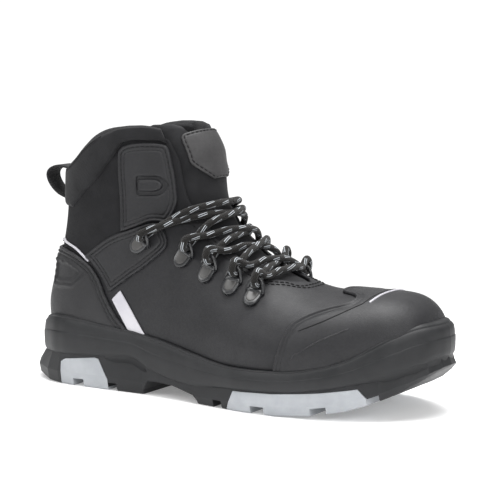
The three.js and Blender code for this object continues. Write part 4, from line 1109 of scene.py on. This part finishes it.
# Cuff: padded softshell that wraps over the collar edge
cuffLook = {
    "low": [(-0.3, 0.93), (0.152, 0.967), (0.231, 1.353), (0.281, 1.7), (0.288, 1.79), (0.318, 1.83), (0.378, 1.83),
            (0.4, 1.72), (0.416, 1.25), (0.42, 1.14)],
    "outside": 2.6, "inside": 4, "columns": 220,
    "profile": [(0, 0.0), (0.02, 0.45), (0.06, 0.75), (0.15, 0.95), (0.35, 1.0), (0.6, 1.0), (0.8, 0.95), (0.9, 0.8)],
}


def cuffEdges(turns):
    # rows of the last at the low seam and at the collar, for each line up the shaft
    rows = np.linspace(10, lastEnd, 900)
    points = lastPoints(rows[:, None], turns[None, :])
    x, z = points[..., 0], points[..., 2]
    low = np.array(cuffLook["low"])
    lowZ = upZ(np.interp(shareAt(x), low[:, 0], low[:, 1]))
    front = shareAt(x) > 0.3995
    steep = np.interp(-(shareAt(x)), [-0.42, -0.416, -0.4], [1.14, 1.25, 1.72])
    lowZ = np.where(front, upZ(steep), lowZ)
    start = rows[np.argmax(z > lowZ, axis=0)]
    return start, topRow(turns, 0)


def makeCuff():
    count = cuffLook["columns"]
    half = 0.135
    turns = np.linspace(0.5 + half, 1.5 - half, count) % 1.0
    turns = np.where(turns > 1 - 1e-9, 0.0, turns)
    low, top = cuffEdges(np.where(turns > 0.5, 1 - turns, turns))
    kernel = np.ones(5) / 5
    low = np.convolve(np.pad(low, 2, mode="edge"), kernel, "valid")
    top = np.convolve(np.pad(top, 2, mode="edge"), kernel, "valid")
    low = np.minimum(low, top - 0.12)
    wall, gap = boot["wall"], boot["gap"]
    out, inside = cuffLook["outside"], cuffLook["inside"]
    rings = []
    for share, puff in cuffLook["profile"]:
        row = low + (top - low) * share
        rings.append((row, np.full(count, gap + out * puff)))
    middle = (out - wall - inside) / 2
    reach = (out + wall + inside) / 2 + gap
    for angle in np.linspace(0.12, 0.88, 9) * np.pi:
        rings.append((top - 0.42 + 0.42 * np.sin(angle) ** 0.8, np.full(count, middle + reach * np.cos(angle))))
    for share, puff in ((0.85, 0.9), (0.6, 1.0), (0.35, 1.0), (0.12, 0.8), (0.0, 0.35)):
        row = low + (top - low) * share
        rings.append((row, np.full(count, -wall - gap - inside * puff)))
    points = np.vstack([formPoints(row, turns, offset) for row, offset in rings])
    n = len(rings)
    faces = gridFaces(n, count)
    faces += [(c + 1, c, (n - 1) * count + c, (n - 1) * count + c + 1) for c in range(count - 1)]
    faces += [tuple(r * count for r in range(n)), tuple(r * count + count - 1 for r in reversed(range(n)))]
    piece = makeMesh("collar_cuff_padding", points, faces, softshell)
    outwards(piece)
    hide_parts("collar_cuff")


makeCuff()
print("cuff made")


# Tongue: padded, with a plain leather patch
tongueLook = {
    "from": 6.15, "to": 19.4, "overlap": 0.035, "thickness": 9, "rows": 120, "columns": 40,
    "top": [(0.335, 1.96), (0.345, 2.02), (0.36, 2.06), (0.395, 2.08), (0.41, 2.06), (0.42, 1.98)],
    "patch": [(13.3, 0.0), (13.3, 0.022), (13.34, 0.03), (13.55, 0.038), (14.4, 0.062), (15.3, 0.088), (15.6, 0.095),
              (15.95, 0.098), (17.3, 0.098), (17.7, 0.09), (17.78, 0.07), (17.78, 0.0)],
    "patchLay": {"base": -2.4, "edge": 0.3, "thickness": 1.4, "roll": 0.9, "seams": (2.0,), "sunk": 0.25},
}


def tongueTop(share):
    # 0 to 1 over the width: how far the row table runs before the tongue's top edge
    rows = np.linspace(13, lastEnd, 500)
    turns = 0.5 + share
    points = lastPoints(rows[:, None], turns[None, :])
    table = np.array(tongueLook["top"])
    limit = upZ(np.interp(shareAt(points[..., 0]), table[:, 0], table[:, 1]))
    return rows[np.argmax(points[..., 2] > limit - 1.5, axis=0)]


def makeTongue():
    rows, columns = tongueLook["rows"], tongueLook["columns"]
    u = np.linspace(-1, 1, columns)
    topHalf = throatHalf(17.5) + tongueLook["overlap"]
    top = tongueTop(u * topHalf)
    v = np.linspace(0, 1, rows)[:, None]
    row = tongueLook["from"] + v * (top[None, :] - tongueLook["from"])
    half = throatHalf(np.maximum(row, 6.7)) + tongueLook["overlap"]
    turn = 0.5 + u[None, :] * half
    across = np.abs(u)[None, :]
    thick = tongueLook["thickness"] * (1 - across ** 4) ** 0.5
    thick = thick * np.clip((row - tongueLook["from"]) / 1.5 + 0.25, 0.25, 1) * np.clip((1 - v) * 18, 0, 1) ** 0.5
    thick = np.maximum(thick, 0.6)
    face = -boot["wall"] - boot["gap"] - 0.25 - (1 - np.minimum(thick / tongueLook["thickness"] * 1.6, 1)) * 2
    outer = formPoints(row, turn, face)
    inner = formPoints(row, turn, face - thick)
    n = rows * columns
    faces = gridFaces(rows, columns)
    under = [tuple(i + n for i in reversed(f)) for f in faces]
    far = (rows - 1) * columns
    border = [(c, c + 1, c + 1 + n, c + n) for c in range(columns - 1)]
    border += [(far + c, far + c + 1, far + c + 1 + n, far + c + n) for c in range(columns - 1)]
    for r in range(rows - 1):
        a, b = r * columns, (r + 1) * columns
        border += [(a, b, b + n, a + n), (a + columns - 1, b + columns - 1, b + columns - 1 + n, a + columns - 1 + n)]
    piece = makeMesh("tongue_padding", np.vstack([outer.reshape(-1, 3), inner.reshape(-1, 3)]),
                     faces + under + border, softshell)
    outwards(piece)
    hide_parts("tongue")


def makeTonguePatch():
    scale = np.array([260.0, 13.0])
    half = [(b, a) for a, b, *_ in tongueLook["patch"]]
    outline = [(x * scale[0], y * scale[1]) for x, y in half]
    mirrored = [(-x, y) for x, y in outline[::-1]]
    loop = loopWithCorners([(*outline[-1][:2],)] + mirrored[1:-1] + outline[:-1], 1.2)

    def toForm(points):
        return points[:, 1] / scale[1], 0.5 + points[:, 0] / scale[0]
    lay = tongueLook["patchLay"]
    piece = layPatch("tongue_patch_leather", loop, toForm, lay, patchLeather)
    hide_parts("tongue_patch")
    doubleStitch("tongue_patch_stitching", loop, toForm, lay["base"] + lay["thickness"] - lay["sunk"], lay["seams"], keep=None)


makeTongue()
makeTonguePatch()
print("tongue made")


# Lace fittings: D-rings on plates and hooks, as places on the side of the upper
fittingLook = {
    "places": [("ring", 0.612, 0.456, 0.3, 0.2), ("ring", 0.559, 0.521, 0.3, 0.3), ("ring", 0.499, 0.596, 0.3, 0.7),
               ("ring", 0.439, 0.687, 0.3, 1.4), ("hook", 0.34, 0.76, 2.1, 1.7)],
    "plateLength": 11.5, "plateWidth": 11, "plateThickness": 1.8, "wire": 1.15, "bowFoot": 2.5,
    "bowHalfWidth": 5.6, "bowHeight": 9.5, "bowTilt": 0.75, "faceScale": 0.68,
}


def unit(v):
    return v / max(np.linalg.norm(v), 1e-9)


def fittingFrame(place, sign):
    kind, along, up, base, dip = place
    row, turn = (v[0] for v in sideToForm([(float(alongX(along)), float(upZ(up)))]))
    turn = turn if sign < 0 else 1 - turn
    centre = formPoints(row, turn, base)
    out = unit(formPoints(row, turn, base + 1) - centre)
    on = unit(formPoints(row, turn - sign * 0.02, base) - centre)
    beside = np.cross(out, on)
    return {"row": row, "turn": turn, "base": base, "dip": dip, "kind": kind,
            "place": lambda t, s, n: centre + on * t + beside * s + out * n}


def tubeAlong(points, radius, sides=12, closed=False, flatten=1.0):
    # rings of a round wire or cord along a line
    points = np.asarray(points, float)
    radius = np.broadcast_to(np.asarray(radius, float), len(points))
    side = np.array([0.0, 0.0, 1.0])
    rings = []
    for i, p in enumerate(points):
        ahead = unit(points[min(i + 1, len(points) - 1)] - points[max(i - 1, 0)])
        side = unit(side - ahead * (side @ ahead))
        up = np.cross(ahead, side)
        angles = np.arange(sides) / sides * 2 * np.pi
        rings.append(p + (side[None] * np.cos(angles)[:, None] + up[None] * np.sin(angles)[:, None] * flatten) * radius[i])
    return np.vstack(rings)


def roundedPlate(place, outline, thickness, rise, base):
    # a plate with rolled edges, on its own frame
    outline = np.asarray(outline, float)
    middle = outline.mean(0)
    levels = [(1.0, -base), (1.0, thickness * 0.45), (0.975, thickness * 0.8), (0.92, thickness), (0.8, thickness + rise * 0.5),
              (0.5, thickness + rise * 0.9), (0.2, thickness + rise)]
    rings = [[place(*(middle + (p - middle) * scale), n) for p in outline] for scale, n in levels]
    points = np.array(rings).reshape(-1, 3)
    count = len(outline)
    faces = gridFaces(len(levels), count, closed=True)
    faces += [tuple(reversed(range(count))), tuple(range((len(levels) - 1) * count, len(levels) * count))]
    return points, faces


def joinParts(name, parts, materials, kinds):
    points, faces, faceKinds = [], [], []
    start = 0
    for (p, f), kind in zip(parts, kinds):
        points.append(p)
        faces += [tuple(i + start for i in face) for face in f]
        faceKinds += [kind] * len(f)
        start += len(p)
    piece = makeMesh(name, np.vstack(points), faces, materials, faceKinds)
    outwards(piece)
    return piece


def tubePart(points, radius, sides=12):
    rings = tubeAlong(points, radius, sides)
    count = len(points)
    faces = gridFaces(count, sides, closed=True)
    faces += [tuple(reversed(range(sides))), tuple(range((count - 1) * sides, count * sides))]
    return rings, faces


def makeFitting(name, node, at):
    look, place = fittingLook, at["place"]
    length, width, thick = look["plateLength"], look["plateWidth"], look["plateThickness"]
    back, front = look["bowFoot"] - length, look["bowFoot"] + 0.6
    half = width / 2
    outline = loopWithCorners([(back, 0), (back + 1.6, half * 0.62), (back + 4.4, half * 0.92), (front - 2, half),
                               (front, half * 0.8), (front, -half * 0.8), (front - 2, -half),
                               (back + 4.4, -half * 0.92), (back + 1.6, -half * 0.62)], 0.8, 1)
    parts = [roundedPlate(place, outline, thick, 0.35, 1.6)]
    middle = outline.mean(0)
    parts.append(roundedPlate(place, middle + (outline - middle) * look["faceScale"], thick + 0.75, 0.15, 0.2))
    barrel = [place(look["bowFoot"], s, thick * 0.9) for s in np.linspace(-half * 0.97, half * 0.97, 9)]
    parts.append(tubePart(barrel, [1.5, 1.95, 2.0, 2.0, 2.0, 2.0, 2.0, 1.95, 1.5], 14))
    angles = np.linspace(-0.02, 1.02, 25) * np.pi
    bow = []
    for angle in angles:
        rise = max(np.sin(angle), -0.1) * look["bowHeight"]
        bow.append(place(look["bowFoot"] + rise * math.sin(look["bowTilt"]), np.cos(angle) * look["bowHalfWidth"],
                         thick * 0.4 + rise * math.cos(look["bowTilt"])))
    parts.append(tubePart(bow, look["wire"], 12))
    piece = joinParts(name, parts, [composite, plateFace], (0, 1, 0, 0))
    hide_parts(node)


fittings = {label: [fittingFrame(place, sign) for place in fittingLook["places"]] for label, sign in sides}
for label, sign in sides:
    for i, at in enumerate(fittings[label]):
        node = f"lace_hook_{label}" if at["kind"] == "hook" else f"d_ring_{label}_{i + 1}"
        makeFitting(node + "_fitting", node, at)
print("lace fittings made")


# Lace: a round cord in two halves that cross from ring to ring, with a bar at the bottom and one at the top
laceLook = {
    "radius": 2.35, "sideLift": 3.8, "barLift": 1.2, "lowCrossing": 0.5, "highCrossing": 3.2, "step": 0.8,
    "fleckLength": 6.2, "fleckGap": 5.4,
    "dark": (0.0055, 0.005, 0.0045), "light": (0.0115, 0.01, 0.009), "fleck": (0.46, 0.49, 0.52),
}


def laceMaterial():
    made, tree, shader = startMaterial("braided cord")
    place = addNode(tree, "ShaderNodeUVMap", uv_map="cord").outputs[0]
    parts = addNode(tree, "ShaderNodeSeparateXYZ", {0: place}).outputs
    around, along = parts[0], parts[1]
    rate = 2 * math.pi
    first = mathNode(tree, "SINE", mathNode(tree, "MULTIPLY", mathNode(tree, "ADD", mathNode(
        tree, "MULTIPLY", around, 8.0), mathNode(tree, "MULTIPLY", along, 0.62)), rate))
    second = mathNode(tree, "SINE", mathNode(tree, "MULTIPLY", mathNode(tree, "SUBTRACT", mathNode(
        tree, "MULTIPLY", around, 8.0), mathNode(tree, "MULTIPLY", along, 0.62)), rate))
    braid = mathNode(tree, "MAXIMUM", first, second)
    # light tracer threads: pairs of short lines that repeat along the cord
    period = laceLook["fleckLength"] + laceLook["fleckGap"]
    turnBy = mathNode(tree, "ADD", mathNode(tree, "MULTIPLY", around, 3.0), mathNode(tree, "MULTIPLY", along, 0.045))
    stripe = mathNode(tree, "ABSOLUTE", mathNode(tree, "SUBTRACT", mathNode(tree, "FRACT", turnBy), 0.5))
    pair = mathNode(tree, "ABSOLUTE", mathNode(tree, "SUBTRACT", stripe, 0.13))
    lines = rangeNode(tree, pair, 0.035, 0.06, 1.0, 0.0)
    stretch = mathNode(tree, "FRACT", mathNode(tree, "DIVIDE", along, period))
    on = mathNode(tree, "LESS_THAN", stretch, laceLook["fleckLength"] / period)
    mask = mathNode(tree, "MULTIPLY", lines, on)
    fuzz = noiseNode(tree, millimetres(tree), 1.5, 4.0)
    colour = mixColour(tree, rangeNode(tree, fuzz, 0.35, 0.65, 0.0, 1.0), laceLook["dark"], laceLook["light"])
    colour = mixColour(tree, rangeNode(tree, braid, -0.2, 0.5, 0.45, 0.0), colour, (0.005, 0.0045, 0.004))
    colour = mixColour(tree, mask, colour, laceLook["fleck"])
    tree.links.new(colour, shader.inputs["Base Color"])
    tree.links.new(rangeNode(tree, mask, 0.0, 1.0, 0.85, 0.5), shader.inputs["Roughness"])
    height = mathNode(tree, "ADD", mathNode(tree, "MULTIPLY", braid, 0.6), mathNode(tree, "MULTIPLY", fuzz, 0.5))
    bump = addNode(tree, "ShaderNodeBump", {"Strength": 0.7, "Distance": 0.0005, "Height": height})
    tree.links.new(bump.outputs[0], shader.inputs["Normal"])
    shader.inputs["Sheen Weight"].default_value = 0.1
    shader.inputs["Specular IOR Level"].default_value = 0.3
    return made


lace = laceMaterial()


def aroundBow(at):
    look = fittingLook
    t = look["bowFoot"] + look["bowHeight"] * math.sin(look["bowTilt"])
    n = look["plateThickness"] * 0.4 + look["bowHeight"] * math.cos(look["bowTilt"])
    reach = laceLook["radius"] + 1.5 + boot["gap"] * 3
    return [at["place"](t + math.cos(half * math.pi) * reach, 0, n + math.sin(half * math.pi) * reach)
            for half in (0.3, 0.62, 0.93, 1.24, 1.55)]


def acrossTongue(a, b, middleLift, shares):
    k = np.array(shares, float)
    row = a["row"] + (b["row"] - a["row"]) * k - min(a["dip"], b["dip"]) * np.sin(k * np.pi) ** 2
    turn = a["turn"] + (b["turn"] - a["turn"]) * k
    middle = np.sin(k * np.pi) ** 4
    side = laceLook["sideLift"] + a["base"] + (b["base"] - a["base"]) * k
    return list(formPoints(row, turn, side + (middleLift - side) * middle))


def laceHalf(first, second, lift):
    points = acrossTongue(second[0], first[0], laceLook["barLift"], (0.5, 0.65, 0.8))
    last = len(first) - 1
    for i in range(len(first)):
        here = second[i] if i % 2 else first[i]
        points += aroundBow(here)
        if i < last:
            there = first[i + 1] if i % 2 else second[i + 1]
            points += acrossTongue(here, there, lift, (0.2, 0.35, 0.5, 0.65, 0.8))
    end, other = (second[last], first[last]) if last % 2 else (first[last], second[last])
    return points + acrossTongue(end, other, laceLook["barLift"], (0.2, 0.35, 0.5))


def makeLace(name, points, extra=()):
    path = sampleCurve(points, laceLook["step"])
    sides = 14
    rings, faces = tubePart(path, laceLook["radius"], sides)
    piece = makeMesh(name, rings, faces, lace)
    run = np.r_[0, np.cumsum(np.linalg.norm(np.diff(path, axis=0), axis=1))]
    layer = piece.data.uv_layers.new(name="cord")
    for polygon in piece.data.polygons:
        corners = [(piece.data.loops[i].vertex_index, i) for i in polygon.loop_indices]
        ring = [v // sides for v, _ in corners]
        side = [v % sides for v, _ in corners]
        wraps = max(side) == sides - 1 and min(side) == 0 and len(corners) == 4
        for (v, i), r, s in zip(corners, ring, side):
            layer.data[i].uv = ((sides if wraps and s == 0 else s) / sides, run[r])
    return piece


outer, inner = fittings["outer"], fittings["inner"]
lowHalf = makeLace("lace_under", laceHalf(outer, inner, laceLook["lowCrossing"]))
highHalf = makeLace("lace_over", laceHalf(inner, outer, laceLook["highCrossing"]))
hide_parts("lace")
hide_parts("lace")
print("laces made")


# Pull loop: one strip of webbing behind the cuff
loopLook = {"topUp": 1.39, "lowUp": 0.99, "reach": 20, "width": 15, "thickness": 1.6, "tab": 9}


def backOfCuff(up):
    rows = np.linspace(14, lastEnd, 400)
    z = lastPoints(rows, np.zeros(400))[:, 2]
    row = rows[np.argmax(z > upZ(up))]
    p = formPoints(row, 0.0, boot["gap"] * 2 + cuffLook["outside"])
    return float(p[0]), float(p[2])


def makePullLoop():
    topX, topZ = backOfCuff(loopLook["topUp"])
    lowX, lowZ = backOfCuff(loopLook["lowUp"])
    reach, t = loopLook["reach"], loopLook["thickness"]
    middle = (topZ + lowZ) / 2
    line = [(topX + 0.3, topZ - 0.2), (topX - reach * 0.48, topZ + t * 0.7), (topX - reach * 0.84, topZ - t * 0.8),
            (topX - reach + t * 0.6, topZ - (topZ - middle) * 0.53), (topX - reach * 0.86 + t * 0.5, middle - t * 0.7),
            (lowX - reach * 0.43, lowZ + (middle - lowZ) * 0.3 + t * 0.4), (lowX + 0.3, lowZ + 0.3)]
    path = sampleCurve(line, 0.7)
    across = [(-0.5, 0.0), (-0.49, 0.42), (-0.46, 0.5), (-0.40, 0.5), (-0.38, 0.40), (-0.36, 0.5), (-0.1, 0.5),
              (0.1, 0.5), (0.36, 0.5), (0.38, 0.40), (0.40, 0.5), (0.46, 0.5), (0.49, 0.42), (0.5, 0.0),
              (0.49, -0.42), (0.46, -0.5), (-0.46, -0.5), (-0.49, -0.42)]
    ahead = np.gradient(path, axis=0)
    ahead /= np.linalg.norm(ahead, axis=1, keepdims=True)
    points = []
    for i, (x, z) in enumerate(path):
        nx, nz = -ahead[i, 1], ahead[i, 0]
        for s, n in across:
            points.append((x + nx * n * t, s * loopLook["width"], z + nz * n * t))
    count = len(across)
    faces = gridFaces(len(path), count, closed=True)
    faces += [tuple(reversed(range(count))), tuple(range((len(path) - 1) * count, len(path) * count))]
    piece = makeMesh("pull_loop_webbing", points, faces, webbing)
    outwards(piece)
    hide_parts("pull_loop")


makePullLoop()
print("pull loop made")


# Insole: felted foam that cups the heel a little
insoleLook = {"from": 0.45, "to": 13.15, "inset": 3.1, "rise": 4.4, "thickness": 4.6, "rows": 90, "columns": 41}


def makeInsole():
    look = insoleLook
    rows = np.linspace(look["from"], look["to"], look["rows"])
    turns = np.linspace(0, 0.24, 121)
    inset = np.full((len(rows), len(turns)), -look["inset"])
    table = formPoints(rows[:, None], turns[None, :], inset)
    edges = turns[np.argmax(table[..., 2] - table[:, :1, 2] > look["rise"], axis=1)]
    u = np.linspace(-1, 1, look["columns"])
    row = np.repeat(rows[:, None], look["columns"], 1)
    under = formPoints(row, edges[:, None] * u[None, :], np.full(row.shape, -look["inset"]))
    ends = np.clip(np.minimum(rows - look["from"], look["to"] - rows) / 0.35, 0, 1)[:, None]
    thick = look["thickness"] * np.sqrt(1 - np.abs(u[None, :]) ** 7 * 0.96) * np.sqrt(1 - (1 - ends) ** 2 * 0.96)
    top = under.copy()
    top[..., 2] += thick
    n = row.size
    faces = gridFaces(look["rows"], look["columns"])
    lower = [tuple(i + n for i in reversed(f)) for f in faces]
    c, far = look["columns"], (look["rows"] - 1) * look["columns"]
    border = [(i, i + 1, i + 1 + n, i + n) for start in (0, far) for i in range(start, start + c - 1)]
    for a in range(0, far, c):
        border += [(a, a + c, a + c + n, a + n), (a + c - 1, a + 2 * c - 1, a + 2 * c - 1 + n, a + c - 1 + n)]
    piece = makeMesh("insole_foam", np.vstack([top.reshape(-1, 3), under.reshape(-1, 3)]), faces + lower + border,
                     insoleFelt)
    outwards(piece)
    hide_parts("insole")


makeInsole()
print("insole made")

# Trims: piping round the counter, raised lines on the toe, stitching round the throat
trimLook = {
    "piping": [(0.206, 0.6), (0.183, 0.645), (0.157, 0.685), (0.124, 0.708), (0.1, 0.712)],
    "toeLine": [(0.74, 0.262), (0.789, 0.333), (0.832, 0.408), (0.847, 0.449)], "toeLineTop": 0.852,
    "crease": [(0.731, 0.085), (0.738, 0.118), (0.748, 0.132), (0.786, 0.212), (0.84, 0.294)],
    "throatFrom": 11.6, "throatBase": 6.2, "throatInset": (0.011, 0.021),
}


def trimLine(name, row, turn, offset, radius, material):
    points = formPoints(row, turn, np.full(len(row), float(offset)))
    rings, faces = tubePart(points, radius, 8)
    piece = makeMesh(name, rings, faces, material)
    outwards(piece)
    return piece


def mirroredLine(shares, middle):
    side = np.array([(float(alongX(a)), float(upZ(b))) for a, b in shares])
    row, turn = sideToForm(side)
    half = np.stack([row * 14, turn * 260], -1)
    other = np.stack([row * 14, (middle * 2 - turn) * 260], -1)[::-1]
    return sampleCurve(np.vstack([half, other]), 1.0) / (14, 260)


def makeTrims():
    line = mirroredLine(trimLook["piping"], 0.0)
    trimLine("counter_piping", line[:, 0], line[:, 1], 0.7, 0.85, reflectiveFilm)
    line = mirroredLine(trimLook["toeLine"], 0.5)
    trimLine("toe_line", line[:, 0], line[:, 1], 1.95, 0.45, thread)
    near = np.abs(line[:, 1] - 0.5) < 0.085
    trimLine("toe_piping", line[near, 0] - 0.16, line[near, 1], 1.9, 0.8, reflectiveFilm)
    for label, sign in sides:
        side = sampleCurve([(float(alongX(a)), float(upZ(b))) for a, b in trimLook["crease"]], 1.0)
        row, turn = sideToForm(side)
        trimLine(f"toe_crease_{label}", row, turn if sign < 0 else 1 - turn, 1.9, 0.5, leather)
    runs = []
    for inset in trimLook["throatInset"]:
        rows = np.linspace(trimLook["throatFrom"], 6.75, 60)
        halves = throatHalf(rows) + inset
        base = trimLook["throatBase"] + 0.25 - inset * 14
        rows = np.r_[rows, base + 0.1, base, base + 0.1, rows[::-1]]
        turns = np.r_[0.5 - halves, 0.5 - 0.035, 0.5, 0.5 + 0.035, 0.5 + halves[::-1]]
        curve = sampleCurve(np.stack([rows * 14, turns * 260], -1), 0.9) / (14, 260)
        runs += seamOn(curve[:, 0], curve[:, 1], 0.1)
    stitchMesh("throat_stitching", runs, thread)


makeTrims()
print("trims made")

# Floor, light and camera
stageLook = {
    "floor": (0.86, 0.86, 0.86), "floorMiddle": (0.11, 0.0, 0.0), "floorFade": (0.26, 0.42), "floorGlow": 0.22, "sky": [(0.0, 1.1), (0.52, 1.1), (0.6, 0.32), (0.8, 0.4), (1.0, 1.3)], "azimuth": 31, "elevation": 7.8, "distance": 1300,
    "target": (110, 0, 85), "fieldWidth": 326.7, "sensor": 36, "frame": 490, "targetPixel": (232.5, 265.5),
}


def makeFloor():
    mesh = bpy.data.meshes.new("floor")
    size = 6
    mesh.from_pydata([(-size, -size, 0), (size, -size, 0), (size, size, 0), (-size, size, 0)], [], [(0, 1, 2, 3)])
    floor = bpy.data.objects.new("floor", mesh)
    bpy.context.scene.collection.objects.link(floor)
    made, tree, shader = startMaterial("studio floor")
    shader.inputs["Base Color"].default_value = (*stageLook["floor"], 1)
    place = addNode(tree, "ShaderNodeTexCoord").outputs["Object"]
    off = addNode(tree, "ShaderNodeVectorMath", {0: place, 1: stageLook["floorMiddle"]}, operation="DISTANCE")
    shown = rangeNode(tree, off.outputs["Value"], *stageLook["floorFade"], 1.0, 0.0)
    tree.links.new(shown, shader.inputs["Alpha"])
    shader.inputs["Roughness"].default_value = 0.9
    shader.inputs["Specular IOR Level"].default_value = 0.0
    shader.inputs["Emission Color"].default_value = (1, 1, 1, 1)
    shader.inputs["Emission Strength"].default_value = stageLook["floorGlow"]
    mesh.materials.append(made)
    floor.location.z = -0.0002


def addLight(name, place, aim, size, power):
    lamp = bpy.data.lights.new(name, "AREA")
    lamp.shape = "RECTANGLE"
    lamp.size, lamp.size_y = size
    lamp.energy = power
    piece = bpy.data.objects.new(name, lamp)
    bpy.context.scene.collection.objects.link(piece)
    piece.location = Vector(place)
    piece.rotation_euler = (Vector(aim) - Vector(place)).to_track_quat("-Z", "Y").to_euler()
    return piece


def makeLights():
    world = bpy.data.worlds.new("studio")
    bpy.context.scene.world = world
    world.use_nodes = True
    tree = world.node_tree
    up = addNode(tree, "ShaderNodeSeparateXYZ", {0: addNode(tree, "ShaderNodeTexCoord").outputs["Generated"]}).outputs[2]
    ramp = addNode(tree, "ShaderNodeValToRGB", {0: mathNode(tree, "MULTIPLY_ADD", up, 0.5)})
    ramp.inputs[0].links[0].from_node.inputs[2].default_value = 0.5
    while len(ramp.color_ramp.elements) < len(stageLook["sky"]):
        ramp.color_ramp.elements.new(0.5)
    for element, (at, value) in zip(ramp.color_ramp.elements, stageLook["sky"]):
        element.position = at
        element.color = (value, value, value, 1)
    tree.links.new(ramp.outputs[0], tree.nodes["Background"].inputs[0])
    addLight("top softbox", (0.15, 0.1, 1.3), (0.11, 0, 0.1), (1.3, 0.9), 26)
    addLight("key softbox", (-0.8, -1.3, 1.0), (0.1, 0, 0.08), (0.7, 0.7), 9)
    addLight("toe softbox", (1.3, -0.8, 0.9), (0.15, 0, 0.06), (0.6, 0.7), 9)


def makeCamera():
    look = stageLook
    azimuth, elevation = math.radians(look["azimuth"]), math.radians(look["elevation"])
    away = Vector((math.sin(azimuth) * math.cos(elevation), -math.cos(azimuth) * math.cos(elevation),
                   math.sin(elevation)))
    target = Vector(look["target"])
    data = bpy.data.cameras.new("photo view")
    data.sensor_width = look["sensor"]
    data.lens = look["sensor"] * look["distance"] / look["fieldWidth"]
    data.shift_x = (look["frame"] / 2 - look["targetPixel"][0]) / look["frame"]
    data.shift_y = (look["targetPixel"][1] - look["frame"] / 2) / look["frame"]
    camera = bpy.data.objects.new("photo view", data)
    bpy.context.scene.collection.objects.link(camera)
    camera.location = (target + away * look["distance"]) * 0.001
    camera.rotation_euler = (-away).to_track_quat("-Z", "Y").to_euler()
    bpy.context.scene.camera = camera


makeFloor()
makeLights()
makeCamera()
bpy.context.scene.view_settings.view_transform = "Standard"
print("stage made")
